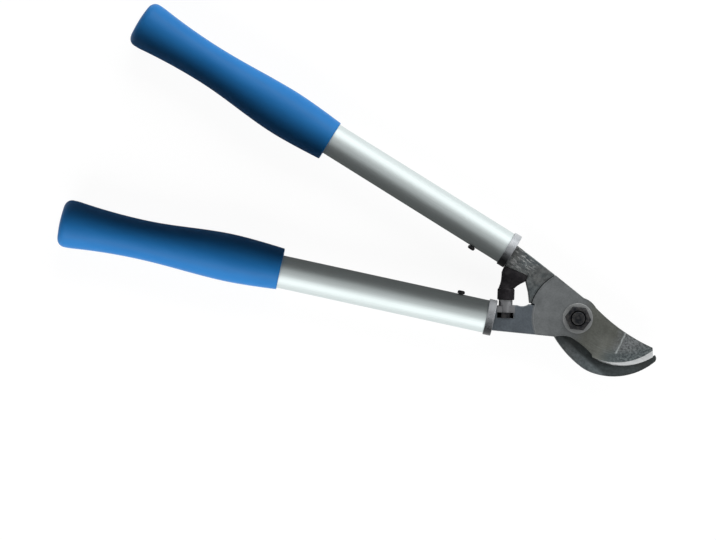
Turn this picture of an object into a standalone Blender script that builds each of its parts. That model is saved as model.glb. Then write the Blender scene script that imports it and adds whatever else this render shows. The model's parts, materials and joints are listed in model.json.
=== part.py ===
"""Bypass lopper: a half-lapped forged head on two aluminium tubes with moulded grips.

The lopper lies flat and closed. Z is the pivot axis and the origin is the centre of the
pivot bolt's head face, on which it rests together with its two grips. X runs along the
bisector of the handles, towards the jaws, and Y towards the hook's handle.
"""
import math

import bmesh
import bpy
from mathutils import Matrix, Vector

# Fits, in metres as every size here
GAP = 0.0003

# Pivot stack, from the bolt head upwards
BOLT_DIAMETER = 0.010
HEAD_ACROSS_FLATS = 0.017
HEAD_HEIGHT = 0.0065
WASHER_DIAMETER = 0.023
WASHER_THICKNESS = 0.002
WASHER_EDGE = 0.0004
HOOK_THICKNESS = 0.00775
BLADE_THICKNESS = 0.0055
NUT_ACROSS_FLATS = 0.017
NUT_HEIGHT = 0.008
THREAD_END = 0.0018
BOLT_CHAMFER = 0.0009
BUSH_WALL = 0.0015
NUT_TURN = math.radians(15)
HEX_CHAMFER = 0.9
HEX_CHAMFER_SLOPE = 0.5

# Half lap of the two forgings about the pivot
LAP_RADIUS = 0.0365
LAP_CLEARANCE = 0.0005
LAP_UNDERCUT = 0.0003
GROUND_RADIUS = 0.034
TANG_THICKNESS = 0.009
FORGED_EDGE = 0.0012
TANG_IN_TUBE = 0.038
HOOK_TANG_TAPER = 0.009
BLADE_TANG_TAPER = 0.0045
TANG_ROOT_RADIUS = 0.026
PLATE_SPLIT = math.radians(184)
PLATE_OVERLAP = 0.005
ROOT_INSET = 0.003
INNER_ROOT_INSET = (0.0015, 0.0015)
GROUND_EDGE = 0.0004

# Arms: angle from the bisector, distance of each tube's axis from the pivot
ARM_ANGLE = math.radians(9.86)
HOOK_ARM_OFFSET = 0.0165
BLADE_ARM_OFFSET = 0.0134
TUBE_DIAMETER = 0.025
TUBE_WALL = 0.00125
HOOK_MOUTH = 0.0695
BLADE_MOUTH = 0.0632
HOOK_BARE_TUBE = 0.1605
BLADE_BARE_TUBE = 0.1643
COLLAR_WALL = 0.0009
COLLAR_LIP = 0.0012
COLLAR_SLEEVE = 0.0045
SCREW_SETBACK = 0.0268
SCREW_DIAMETER = 0.004
SCREW_HEAD_DIAMETER = 0.0056
SCREW_HEAD_HEIGHT = 0.0024
SCREW_DOME = 0.0014
SCREW_LENGTH = 0.011

# Grip: widths seen from above, with their distances from the butt
GRIP_LENGTH = 0.171
BUTT_WIDTH = 0.0364
WAIST_WIDTH = 0.0300
BELLY_WIDTH = 0.0362
MOUTH_WIDTH = 0.0315
BUTT_AT = 0.011
WAIST_AT = 0.063
BELLY_AT = 0.132
WAIST_DEPTH = 0.0292
BUTT_ROUNDING = 0.006
BUTT_DOME = 0.0008
BUTT_WALL = 0.008
MOUTH_ROUNDING = 0.0006
BELLY_SHIFT = 0.0020
WAIST_SHIFT = 0.0013
WAIST_CURVE = 2
MOUTH_CURVE = 1.5

# Blade in plan: cutting edge, spine and ground surfaces
BLADE_HEEL = (0.0220, -0.0243)
BLADE_TIP = (0.0643, -0.0055)
EDGE_RISE = 0.0060
NOSE = (0.0610, 0.0008)
SPINE_START = (0.0100, 0.0126)
SPINE_HOLLOW = 0.0025
BLADE_BOSS_RADIUS = 0.0161
BLADE_NOTCH = (0.0005, -0.0152)
HEEL_STEP = (0.0205, -0.0213)
NOTCH_HOLLOW = 0.0008
GRIND_START = 0.012
GRIND_EDGE = 0.0026
GRIND_AT_HEEL = 0.0045
GRIND_AT_TIP = 0.014
EDGE_LAND = 0.0002
BEVEL_THICKNESS = 0.0036
BEVEL_AT_HEEL = 0.0013
BEVEL_AT_TIP = 0.0044
TIP_FACET_START = 0.0375
TIP_FACET_DROP = 0.0016

# Hook in plan: outer edge, tip and counter edge
HOOK_HEEL = (0.0170, -0.0332)
HOOK_SOLE = (0.0280, -0.0340)
HOOK_TIP = (0.0673, -0.0080)
HOOK_BELLY_RISE = 0.0015
HOOK_SOLE_RISE = 0.0005
HOOK_BACK_RISE = 0.0060
HOOK_TIP_RISE = 0.0008
HOOK_TIP_INNER = (0.0653, -0.0036)
HOOK_THROAT = (0.0145, -0.0110)
COUNTER_EDGE_RISE = 0.0100
HOOK_BOSS_RADIUS = 0.0155
HOOK_RELIEF = 0.0030
HOOK_LAND = 0.0030

# Outer lines of the tangs, and the opening between them behind the pivot
UPPER_LINE = (-0.0014, 0.0165)
LOWER_LINE = (-0.0110, -0.0195)
HOOK_TANG_TOP = 0.0061
BLADE_TANG_TOP = 0.0094
HOOK_INNER_EDGE = (-0.0420, 0.0040)
HOOK_THROAT_POINT = (-0.0382, -0.0030)
BLADE_THROAT = (-0.0380, -0.0040)

# Bumpers: where the two buffers meet, and the blade's buffer column
MEETING_POINT = (-0.0584, 0.0007)
COLUMN_TILT = math.radians(20)
BLADE_BUMPER_DIAMETER = 0.013
BLADE_BUMPER_HEIGHT = 0.0084
BOSS_DIAMETER = 0.0106
BOSS_HEIGHT = 0.0095
BOSS_STANDING = 0.0036
BOSS_FOOT = 0.0036
SLOT_HEIGHT = 0.0042
SLOT_LENGTH = 0.0126
STUD_DIAMETER = 0.006
STUD_IN_RUBBER = 0.004
STUD_CHAMFER = 0.0006
RUBBER_EDGE = 0.0009
BLOCK_SQUARENESS = 5
BUMPER_NUT_FLATS = 0.010
BUMPER_NUT_HEIGHT = 0.0034
HOOK_SEAT = 0.0153
HOOK_BUMPER_AT = -0.0566
HOOK_BUMPER_FOOT = (0.0186, 0.0130)
HOOK_BUMPER_TIP = (0.0104, 0.0100)
HOOK_BUMPER_FOOT_HEIGHT = 0.0042
HOOK_STUD_IN_TANG = 0.0085
HOOK_STUD_IN_RUBBER = 0.006

# Facets round the turned pieces, and steps along arcs and lofted pieces
TUBE_SIDES = 48
LAP_SIDES = 96
BUMPER_STEPS = 6
PIN_SIDES = 24
SCREW_DOME_STEPS = 3
GRIP_SIDES = 36
GRIP_STEPS = 22
BUTT_STEPS = 5
GROUND_STEPS = 24
LONG_ARC_STEPS = 16
ARC_STEPS = 8
SHORT_ARC_STEPS = 4
SHARP_ANGLE = math.radians(32)

# Heights worked out from the pivot stack
WASHER_BACK_Z = HEAD_HEIGHT + GAP
HOOK_BACK_Z = WASHER_BACK_Z + WASHER_THICKNESS + GAP
HOOK_FRONT_Z = HOOK_BACK_Z + HOOK_THICKNESS
AXIS_Z = HOOK_FRONT_Z + GAP / 2
BLADE_BACK_Z = HOOK_FRONT_Z + GAP
BLADE_FRONT_Z = BLADE_BACK_Z + BLADE_THICKNESS
WASHER_FRONT_Z = BLADE_FRONT_Z + GAP
NUT_Z = WASHER_FRONT_Z + WASHER_THICKNESS + GAP
BOLT_TOP_Z = NUT_Z + NUT_HEIGHT + THREAD_END
TANG_BACK_Z = AXIS_Z - TANG_THICKNESS / 2
TANG_FRONT_Z = AXIS_Z + TANG_THICKNESS / 2

# Radii and lengths worked out from the sizes above
BOLT_RADIUS = BOLT_DIAMETER / 2
BUSH_RADIUS = BOLT_RADIUS + GAP + BUSH_WALL
TUBE_RADIUS = TUBE_DIAMETER / 2
BORE_RADIUS = TUBE_RADIUS - TUBE_WALL
ABOVE = 0.001
PAST_TIP = math.radians(12)
SHORT_OF_THROAT = math.radians(3)
RUN_OUT = 0.1
BOSS_START = GAP / 2 + BLADE_BUMPER_HEIGHT + GAP
SLOT_START = BOSS_START + BOSS_HEIGHT


class Outline:
    """A closed outline in plan, walked anticlockwise, with a note of its keen stretches."""

    def __init__(self, point):
        self.points = [Vector(point)]
        self.keen = []

    def line(self, point, keen=False):
        """Straight to a point, unless the outline is there already."""
        if (Vector(point) - self.points[-1]).length > GAP:
            self.points.append(Vector(point))
            self.keen.append(keen)

    def bow(self, point, rise, steps, keen=False):
        """Arc to a point, standing rise outwards from its chord."""
        start = self.points[-1].copy()
        centre, radius = bow_circle(start, point, rise)
        spoke = start - centre
        half = (Vector(point) - start).length / 2
        sweep = 2 * math.asin(half / radius) * math.copysign(1, rise)
        for step in range(1, steps + 1):
            self.line(centre + Matrix.Rotation(sweep * step / steps, 2) @ spoke, keen)

    def turn(self, radius, start, end, steps):
        """Arc about the pivot between two angles."""
        for step in range(steps + 1):
            self.line(around(radius, start + (end - start) * step / steps))


class Arm:
    """One arm's axis: distances run backwards along its tube and outwards from the bisector."""

    def __init__(self, name, side, offset, mouth, bare_tube):
        self.name = name
        self.mouth = mouth
        self.shoulder = mouth - COLLAR_LIP - 2 * GAP
        self.grip_start = mouth + bare_tube
        self.back = Vector((-math.cos(ARM_ANGLE), side * math.sin(ARM_ANGLE)))
        self.out = Vector((math.sin(ARM_ANGLE), side * math.cos(ARM_ANGLE)))
        self.foot = self.out * offset
        self.pivot = bpy.data.objects.new(name + "_arm", None)
        bpy.context.scene.collection.objects.link(self.pivot)

    def at(self, along, outwards):
        return self.foot + self.back * along + self.out * outwards

    def along_tube(self, along):
        """Placement with local Z backwards along the tube and local X outwards."""
        return placement(self.at(along, 0), self.out.to_3d(), self.back.to_3d())

    def across_tube(self, along):
        """Placement with local Z from the tube's axis towards the other arm."""
        return placement(self.at(along, 0), self.back.to_3d(), -self.out.to_3d())


def placement(point, x_axis, z_axis):
    """Matrix at a point in plan, at the height of the tube axes, with the given axes."""
    axes = Matrix((x_axis, z_axis.cross(x_axis), z_axis)).transposed().to_4x4()
    return Matrix.Translation(point.to_3d() + Vector((0, 0, AXIS_Z))) @ axes


def bow_circle(start, end, rise):
    """Centre and radius of the arc that stands rise outwards from a chord."""
    start = Vector(start)
    chord = Vector(end) - start
    outwards = Vector((chord.y, -chord.x)).normalized()
    radius = ((chord.length / 2) ** 2 + rise * rise) / (2 * rise)
    return start + chord / 2 + outwards * (rise - radius), abs(radius)


def around(radius, angle):
    """Point in plan at a radius and an angle."""
    return Vector((radius * math.cos(angle), radius * math.sin(angle)))


def angle_of(point):
    return math.atan2(point[1], point[0])


def leaving_point(start, end, radius):
    """Point at which the line from start to end leaves a circle about the pivot."""
    start = Vector(start)
    run = Vector(end) - start
    middle = start.dot(run) / run.length_squared
    half = math.sqrt(middle ** 2 - (start.length_squared - radius ** 2) / run.length_squared)
    return start + run * (half - middle)


def inset_point(start, end, radius, inset):
    """Point on the line from start to end at a radius from the pivot, moved towards the pivot's side."""
    point = leaving_point(start, end, radius)
    across = (Vector(end) - Vector(start)).orthogonal().normalized()
    return point - across * math.copysign(inset, across.dot(point))


def remove_old_objects():
    for old in list(bpy.data.objects):
        bpy.data.objects.remove(old)


def finish(name, colour, roughness, metallic):
    made = bpy.data.materials.new(name)
    made.use_nodes = True
    shader = made.node_tree.nodes["Principled BSDF"]
    shader.inputs["Base Color"].default_value = (*colour, 1)
    shader.inputs["Roughness"].default_value = roughness
    shader.inputs["Metallic"].default_value = metallic
    return made


def add_object(name, shape, place=None):
    """Link a bmesh as an object."""
    mesh = bpy.data.meshes.new(name)
    shape.to_mesh(mesh)
    shape.free()
    made = bpy.data.objects.new(name, mesh)
    bpy.context.scene.collection.objects.link(made)
    if place is not None:
        made.matrix_world = place
    return made


def add_piece(name, shape, arm, look, place=None):
    """A sub-part that rides on one arm."""
    piece = add_object(name, shape, place)
    piece.parent = arm.pivot
    piece.data.materials.append(look)
    piece.data.shade_smooth()
    piece.data.set_sharp_from_angle(angle=SHARP_ANGLE)
    return piece


def change(piece, operation, name, shape, place=None):
    """Join a second solid to a piece, or cut it away; the tool itself stays hidden."""
    tool = add_object(piece.name + "_" + name, shape, place)
    tool.hide_render = True
    tool.display_type = "WIRE"
    step = piece.modifiers.new(name, "BOOLEAN")
    step.operation = operation
    step.object = tool
    step.solver = "EXACT"


def join(piece, name, shape, place=None):
    change(piece, "UNION", name, shape, place)


def cut(piece, name, shape, place=None):
    change(piece, "DIFFERENCE", name, shape, place)


def inset_corners(outline, depth):
    """Corners of an outline moved inwards, except along its keen stretches."""
    corners = []
    keen = outline.keen + [False]
    for index, point in enumerate(outline.points):
        arriving = point - outline.points[index - 1]
        leaving = outline.points[(index + 1) % len(outline.points)] - point
        before = Vector((-arriving.y, arriving.x)).normalized()
        after = Vector((-leaving.y, leaving.x)).normalized()
        depth_before = 0 if keen[index - 1] else depth
        depth_after = 0 if keen[index] else depth
        if depth_before == depth_after:
            corners.append(point + (before + after) * depth_after / (1 + before.dot(after)))
        else:
            turning = before.x * after.y - before.y * after.x
            corners.append(point + Vector((depth_before * after.y - depth_after * before.y,
                                           depth_after * before.x - depth_before * after.x)) / turning)
    return corners


def extruded(outline, low, high, soft=0.0):
    """Solid between two heights, with every rim rounded by soft except the keen ones."""
    levels = [(low, 0), (high, 0)]
    if soft:
        half = soft * math.sqrt(0.5)
        levels = [(low, soft), (low + soft - half, soft - half), (low + soft, 0),
                  (high - soft, 0), (high - soft + half, soft - half), (high, soft)]
    rings = []
    for height, depth in levels:
        rings.append([(*corner, height) for corner in inset_corners(outline, depth)])
    return loft(rings, closed=False)


def box(low, high):
    """Block between two opposite corners."""
    outline = Outline((low[0], low[1]))
    outline.line((high[0], low[1]))
    outline.line((high[0], high[1]))
    outline.line((low[0], high[1]))
    return extruded(outline, low[2], high[2])


def skin(shape, ring, following):
    """Faces between two rings of points; a ring of one point is a pole."""
    sides = max(len(ring), len(following))
    for side in range(sides if sides > 1 else 0):
        after = (side + 1) % sides
        corners = [ring[side % len(ring)], following[side % len(following)]]
        for corner in (following[after % len(following)], ring[after % len(ring)]):
            if corner not in corners:
                corners.append(corner)
        shape.faces.new(corners)


def loft(rings, closed):
    """Solid through rings of coordinates; a closed loft joins its last ring to its first."""
    shape = bmesh.new()
    made = [[shape.verts.new(point) for point in ring] for ring in rings]
    for index in range(len(made) - 1):
        skin(shape, made[index], made[index + 1])
    if closed:
        skin(shape, made[-1], made[0])
    else:
        for ring in (made[0], made[-1]):
            if len(ring) > 2:
                shape.faces.new(ring)
    bmesh.ops.recalc_face_normals(shape, faces=shape.faces)
    return shape


def turned(profile, sides):
    """Solid of revolution about Z from a closed profile of (radius, height) points."""
    rings = []
    for radius, height in profile:
        count = sides if radius else 1
        ring = []
        for side in range(count):
            ring.append((*around(radius, 2 * math.pi * (side + 0.5) / count), height))
        rings.append(ring)
    return loft(rings, closed=True)


def cylinder(radius, low, high, sides=PIN_SIDES):
    return turned([(0, low), (radius, low), (radius, high), (0, high)], sides)


def chamfered_rod(radius, low, high, chamfer):
    return turned([(0, low), (radius, low), (radius, high - chamfer),
                   (radius - chamfer, high), (0, high)], PIN_SIDES)


def hexagon(across_flats, low, high):
    """Hexagon prism whose top corners are chamfered, as nuts and bolt heads are."""
    corner = across_flats / math.sqrt(3)
    chamfer = (corner - across_flats / 2) * HEX_CHAMFER
    outline = Outline((corner, 0))
    for side in range(1, 6):
        outline.line(around(corner, math.radians(60 * side)))
    shape = extruded(outline, low, high)
    for side in range(6):
        outwards = around(1, math.radians(60 * side)).to_3d()
        slope = (outwards * HEX_CHAMFER_SLOPE + Vector((0, 0, 1))).normalized()
        start = outwards * (corner - chamfer) + Vector((0, 0, high))
        parts = shape.verts[:] + shape.edges[:] + shape.faces[:]
        split = bmesh.ops.bisect_plane(shape, geom=parts, plane_co=start, plane_no=slope,
                                       clear_outer=True)
        rim = [part for part in split["geom_cut"] if isinstance(part, bmesh.types.BMEdge)]
        bmesh.ops.holes_fill(shape, edges=rim)
    bmesh.ops.recalc_face_normals(shape, faces=shape.faces)
    return shape


def tang_reach():
    """Half width of a tang bar whose corners just clear the tube's bore."""
    room = BORE_RADIUS * math.cos(math.pi / TUBE_SIDES) - GAP
    return math.sqrt(room ** 2 - (TANG_THICKNESS / 2) ** 2)


def arc_cutter(first, last, corners):
    """Cutter swept along an arc; each corner of its section has a centre, radius and height."""
    rings = []
    for step in range(GROUND_STEPS + 1):
        angle = first + (last - first) * step / GROUND_STEPS
        rings.append([(*(centre + around(radius, angle)), height) for centre, radius, height in corners])
    shape = loft(rings, closed=False)
    bmesh.ops.triangulate(shape, faces=shape.faces)
    return shape


def ground_sector(low, top, at_heel, at_tip):
    """Cutter for a face rising from low at the blade's edge to top, over a changing width.

    Its upper arc is the edge's own arc, drawn in and shifted towards the heel. The cutter
    begins a little below and outside the edge, on the same slope.
    """
    centre, radius = bow_circle(BLADE_HEEL, BLADE_TIP, EDGE_RISE)
    high = BLADE_FRONT_Z + ABOVE
    stretch = (high - low) / (top - low)
    to_heel = (Vector(BLADE_HEEL) - centre).normalized()
    spread = (Vector(BLADE_TIP) - centre).normalized() - to_heel
    shift = spread * (at_heel - at_tip) * stretch / spread.length_squared
    inset = at_heel * stretch + shift.dot(to_heel)
    start = low - RUN_OUT * (high - low)
    outside = radius + GRIND_AT_TIP
    first = angle_of(Vector((GRIND_START, BLADE_HEEL[1])) - centre)
    last = angle_of(Vector(BLADE_TIP) - centre) + PAST_TIP
    return arc_cutter(first, last, ((centre - shift * RUN_OUT, radius + inset * RUN_OUT, start),
                                    (centre, outside, start), (centre, outside, high),
                                    (centre + shift, radius - inset, high)))


def counter_edge_relief():
    """Cutter that slopes the hook's inner side away from its counter edge, on the hidden side."""
    centre, radius = bow_circle(HOOK_THROAT, HOOK_TIP_INNER, COUNTER_EDGE_RISE)
    slope = HOOK_RELIEF / (HOOK_THICKNESS - HOOK_LAND)
    low = HOOK_BACK_Z - ABOVE
    middle = HOOK_FRONT_Z - HOOK_LAND
    high = middle + ABOVE
    inner = radius - HOOK_RELIEF
    first = angle_of(Vector(HOOK_THROAT) - centre) + SHORT_OF_THROAT
    last = angle_of(Vector(HOOK_TIP_INNER) - centre) + PAST_TIP
    return arc_cutter(first, last, ((centre, inner, low), (centre, radius + slope * (middle - low), low),
                                    (centre, radius - slope * ABOVE, high), (centre, inner, high)))


def tip_facet():
    """Wedge that thins the blade from the ridge across its face to its tip."""
    slope = TIP_FACET_DROP / (BLADE_TIP[0] - TIP_FACET_START)
    start = TIP_FACET_START - GRIND_AT_TIP
    end = BLADE_TIP[0] + ABOVE
    outline = Outline((start, BLADE_FRONT_Z + slope * GRIND_AT_TIP))
    outline.line((end, BLADE_FRONT_Z - slope * (end - TIP_FACET_START)))
    outline.line((end, BLADE_FRONT_Z + ABOVE))
    outline.line((start, BLADE_FRONT_Z + ABOVE))
    shape = extruded(outline, -LAP_RADIUS, LAP_RADIUS)
    bmesh.ops.rotate(shape, verts=shape.verts, matrix=Matrix.Rotation(math.pi / 2, 3, "X"))
    return shape


def column_axes():
    """Directions down the blade bumper's column and across it, in plan."""
    down = Vector((math.sin(COLUMN_TILT), -math.cos(COLUMN_TILT)))
    return down, Vector((-down.y, down.x))


def column_point(distance, across=0.0):
    """Point on the column, below the place where the two buffers meet."""
    down, sideways = column_axes()
    return Vector(MEETING_POINT) + down * distance + sideways * across


def column_place(distance):
    """Placement with local Z down the column and local X across it."""
    down, sideways = column_axes()
    return placement(column_point(distance), sideways.to_3d(), down.to_3d())


def blade_plate_outline(arm):
    tang_end = arm.at(arm.shoulder, BLADE_TANG_TOP)
    hook_end = HOOK.at(HOOK.shoulder, HOOK_TANG_TOP)
    outline = Outline(BLADE_HEEL)
    outline.bow(BLADE_TIP, EDGE_RISE, LONG_ARC_STEPS, keen=True)
    outline.line(NOSE, keen=True)
    outline.bow(SPINE_START, -SPINE_HOLLOW, LONG_ARC_STEPS)
    outline.turn(BLADE_BOSS_RADIUS, angle_of(SPINE_START), angle_of(UPPER_LINE), ARC_STEPS)
    high_end = angle_of(leaving_point(UPPER_LINE, hook_end, LAP_RADIUS))
    outline.turn(LAP_RADIUS, high_end, PLATE_SPLIT, ARC_STEPS)
    low_end = angle_of(leaving_point(LOWER_LINE, tang_end, GROUND_RADIUS)) + 2 * math.pi
    outline.turn(GROUND_RADIUS, PLATE_SPLIT, low_end, ARC_STEPS)
    outline.line(LOWER_LINE)
    outline.bow(BLADE_NOTCH, -NOTCH_HOLLOW, SHORT_ARC_STEPS)
    outline.bow(HEEL_STEP, -NOTCH_HOLLOW, ARC_STEPS)
    return outline


def blade_tang_outline(arm):
    reach = tang_reach()
    tang_end = arm.at(arm.shoulder, BLADE_TANG_TOP)
    boss_foot = column_point(BOSS_START + BOSS_STANDING, BOSS_DIAMETER / 2 + BOSS_FOOT)
    outline = Outline((-TANG_ROOT_RADIUS, 0))
    outline.line(BLADE_THROAT)
    outline.bow(boss_foot, -FORGED_EDGE, SHORT_ARC_STEPS)
    outline.line(column_point(BOSS_START + BOSS_STANDING, 0))
    outline.line(arm.at(arm.shoulder, -reach))
    outline.line(arm.at(arm.mouth + TANG_IN_TUBE, -reach))
    outline.line(arm.at(arm.mouth + TANG_IN_TUBE, reach))
    outline.line(arm.at(arm.mouth + BLADE_TANG_TAPER, reach))
    outline.line(tang_end)
    outline.line(leaving_point(LOWER_LINE, tang_end, GROUND_RADIUS + GROUND_EDGE))
    outline.line(inset_point(LOWER_LINE, tang_end, TANG_ROOT_RADIUS, ROOT_INSET))
    return outline


def hook_plate_outline(arm):
    hook_end = arm.at(arm.shoulder, HOOK_TANG_TOP)
    blade_end = BLADE.at(BLADE.shoulder, BLADE_TANG_TOP)
    outline = Outline(LOWER_LINE)
    outline.bow(HOOK_HEEL, HOOK_BELLY_RISE, ARC_STEPS)
    outline.bow(HOOK_SOLE, HOOK_SOLE_RISE, SHORT_ARC_STEPS)
    outline.bow(HOOK_TIP, HOOK_BACK_RISE, LONG_ARC_STEPS)
    outline.bow(HOOK_TIP_INNER, HOOK_TIP_RISE, SHORT_ARC_STEPS)
    outline.bow(HOOK_THROAT, -COUNTER_EDGE_RISE, LONG_ARC_STEPS, keen=True)
    outline.line(around(HOOK_BOSS_RADIUS, angle_of(HOOK_THROAT)), keen=True)
    outline.turn(HOOK_BOSS_RADIUS, angle_of(HOOK_THROAT), math.pi / 2, ARC_STEPS)
    outline.line(leaving_point(UPPER_LINE, hook_end, LAP_RADIUS))
    outline.line(inset_point(UPPER_LINE, hook_end, LAP_RADIUS + PLATE_OVERLAP, ROOT_INSET))
    outline.line(Vector(HOOK_INNER_EDGE) + Vector(INNER_ROOT_INSET))
    low_end = angle_of(leaving_point(LOWER_LINE, blade_end, LAP_RADIUS)) + 2 * math.pi
    outline.turn(LAP_RADIUS, PLATE_SPLIT + LAP_CLEARANCE / LAP_RADIUS, low_end, ARC_STEPS)
    return outline


def hook_tang_outline(arm):
    reach = tang_reach()
    hook_end = arm.at(arm.shoulder, HOOK_TANG_TOP)
    seat_offset = (HOOK_SEAT - arm.at(arm.shoulder, 0).y) / arm.out.y
    lug = HOOK_BUMPER_AT + HOOK_BUMPER_FOOT[0] / 2 + GAP
    outline = Outline(inset_point(UPPER_LINE, hook_end, TANG_ROOT_RADIUS, ROOT_INSET))
    outline.line(leaving_point(UPPER_LINE, hook_end, LAP_RADIUS + FORGED_EDGE))
    outline.line(hook_end)
    outline.line(arm.at(arm.mouth + HOOK_TANG_TAPER, reach))
    outline.line(arm.at(arm.mouth + TANG_IN_TUBE, reach))
    outline.line(arm.at(arm.mouth + TANG_IN_TUBE, -reach))
    outline.line(arm.at(arm.shoulder, -reach))
    outline.line(arm.at(arm.shoulder, seat_offset))
    outline.line((lug, HOOK_SEAT))
    outline.line((lug, HOOK_SEAT - HOOK_BUMPER_FOOT_HEIGHT))
    outline.line(HOOK_INNER_EDGE)
    outline.line(HOOK_THROAT_POINT)
    outline.line((-TANG_ROOT_RADIUS, 0))
    return outline


def make_hook_blade(arm, look):
    tang = extruded(hook_tang_outline(arm), TANG_BACK_Z, TANG_FRONT_Z, FORGED_EDGE)
    piece = add_piece("hook_blade", tang, arm, look)
    lap_floor = HOOK_FRONT_Z - LAP_UNDERCUT
    cut(piece, "lap", cylinder(LAP_RADIUS + LAP_CLEARANCE, lap_floor, BLADE_FRONT_Z, LAP_SIDES))
    join(piece, "plate", extruded(hook_plate_outline(arm), HOOK_BACK_Z, HOOK_FRONT_Z, FORGED_EDGE))
    cut(piece, "bore", cylinder(BOLT_RADIUS + GAP, 0, BOLT_TOP_Z))
    cut(piece, "relief", counter_edge_relief())
    stud_top = HOOK_SEAT + HOOK_STUD_IN_TANG + GAP
    cut(piece, "stud_hole", cylinder(STUD_DIAMETER / 2 + GAP, 0, stud_top), hook_bumper_place())
    cut(piece, "screw_hole", tube_screw_hole(), arm.across_tube(arm.mouth + SCREW_SETBACK))


def make_cutting_blade(arm, look):
    tang = extruded(blade_tang_outline(arm), TANG_BACK_Z, TANG_FRONT_Z, FORGED_EDGE)
    piece = add_piece("cutting_blade", tang, arm, look)
    lap_floor = BLADE_BACK_Z + LAP_UNDERCUT
    cut(piece, "lap", cylinder(LAP_RADIUS + LAP_CLEARANCE, HOOK_BACK_Z, lap_floor, LAP_SIDES))
    join(piece, "plate", extruded(blade_plate_outline(arm), BLADE_BACK_Z, BLADE_FRONT_Z, GROUND_EDGE))
    cut(piece, "bore", cylinder(BUSH_RADIUS + GAP, 0, BOLT_TOP_Z))
    ground_from = BLADE_BACK_Z + GRIND_EDGE
    cut(piece, "grind", ground_sector(ground_from, BLADE_FRONT_Z, GRIND_AT_HEEL, GRIND_AT_TIP))
    honed_from = BLADE_BACK_Z + EDGE_LAND
    honed_to = BLADE_BACK_Z + BEVEL_THICKNESS
    cut(piece, "bevel", ground_sector(honed_from, honed_to, BEVEL_AT_HEEL, BEVEL_AT_TIP))
    cut(piece, "facet", tip_facet())
    cut(piece, "screw_hole", tube_screw_hole(), arm.across_tube(arm.mouth + SCREW_SETBACK))
    boss_end = BOSS_HEIGHT + SLOT_HEIGHT / 2
    join(piece, "boss", cylinder(BOSS_DIAMETER / 2, 0, boss_end), column_place(BOSS_START))
    slot = (SLOT_LENGTH / 2, TANG_THICKNESS, SLOT_HEIGHT)
    cut(piece, "slot", box((-slot[0], -slot[1], 0), slot), column_place(SLOT_START))
    cut(piece, "stud_hole", cylinder(STUD_DIAMETER / 2 + GAP, -ABOVE, BOSS_HEIGHT + ABOVE),
        column_place(BOSS_START))


def make_tube(arm, look):
    length = arm.grip_start + GRIP_LENGTH - BUTT_WALL - GAP - arm.mouth
    wall = [(BORE_RADIUS, 0), (TUBE_RADIUS, 0), (TUBE_RADIUS, length), (BORE_RADIUS, length)]
    tube = turned(wall, TUBE_SIDES)
    piece = add_piece(arm.name + "_tube", tube, arm, look, arm.along_tube(arm.mouth))
    cut(piece, "screw_hole", tube_screw_hole(), arm.across_tube(arm.mouth + SCREW_SETBACK))


def make_collar(arm, look):
    inner = TUBE_RADIUS + GAP
    outer = inner + COLLAR_WALL
    front = -GAP - COLLAR_LIP
    edge = COLLAR_WALL / 2
    ring = turned([(BORE_RADIUS, front), (outer - edge, front), (outer, front + edge),
                   (outer, COLLAR_SLEEVE - edge), (outer - edge, COLLAR_SLEEVE), (inner, COLLAR_SLEEVE),
                   (inner, -GAP), (BORE_RADIUS, -GAP)], TUBE_SIDES)
    add_piece(arm.name + "_collar", ring, arm, look, arm.along_tube(arm.mouth))


def tube_screw_hole():
    bottom = TUBE_RADIUS - SCREW_LENGTH - GAP
    return cylinder(SCREW_DIAMETER / 2 + GAP, bottom, TUBE_RADIUS + ABOVE)


def make_tube_screw(arm, look):
    """Pan-head screw through the inner side of the tube into the tang."""
    shank = SCREW_DIAMETER / 2
    head = SCREW_HEAD_DIAMETER / 2
    under = TUBE_RADIUS + GAP
    rim = under + SCREW_HEAD_HEIGHT - SCREW_DOME
    profile = [(0, under - SCREW_LENGTH), (shank, under - SCREW_LENGTH), (shank, under), (head, under)]
    for step in range(SCREW_DOME_STEPS):
        angle = math.pi / 2 * step / SCREW_DOME_STEPS
        profile.append((head * math.cos(angle), rim + SCREW_DOME * math.sin(angle)))
    profile.append((0, rim + SCREW_DOME))
    screw = turned(profile, PIN_SIDES)
    add_piece(arm.name + "_tube_screw", screw, arm, look, arm.across_tube(arm.mouth + SCREW_SETBACK))


def grip_section(from_butt):
    """Width, depth and inward shift of the grip at a distance from its butt."""
    if from_butt < BUTT_AT:
        width, shift = BUTT_WIDTH, WAIST_SHIFT
    elif from_butt < WAIST_AT:
        share = ((WAIST_AT - from_butt) / (WAIST_AT - BUTT_AT)) ** WAIST_CURVE
        width, shift = WAIST_WIDTH + (BUTT_WIDTH - WAIST_WIDTH) * share, WAIST_SHIFT
    elif from_butt < BELLY_AT:
        share = (1 - math.cos(math.pi * (from_butt - WAIST_AT) / (BELLY_AT - WAIST_AT))) / 2
        width = WAIST_WIDTH + (BELLY_WIDTH - WAIST_WIDTH) * share
        shift = WAIST_SHIFT + (BELLY_SHIFT - WAIST_SHIFT) * share
    else:
        share = ((from_butt - BELLY_AT) / (GRIP_LENGTH - BELLY_AT)) ** MOUTH_CURVE
        width, shift = BELLY_WIDTH + (MOUTH_WIDTH - BELLY_WIDTH) * share, BELLY_SHIFT
    fullness = (width - WAIST_WIDTH) / (BELLY_WIDTH - WAIST_WIDTH)
    depth = min(WAIST_DEPTH + (2 * AXIS_Z - WAIST_DEPTH) * fullness, 2 * AXIS_Z)
    return width, depth, shift


def oval(width, depth, shift, height):
    """Ring of points round a grip's section, shifted towards the other arm."""
    ring = []
    for side in range(GRIP_SIDES):
        angle = 2 * math.pi * side / GRIP_SIDES
        ring.append((width / 2 * math.cos(angle) - shift, depth / 2 * math.sin(angle), height))
    return ring


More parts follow.
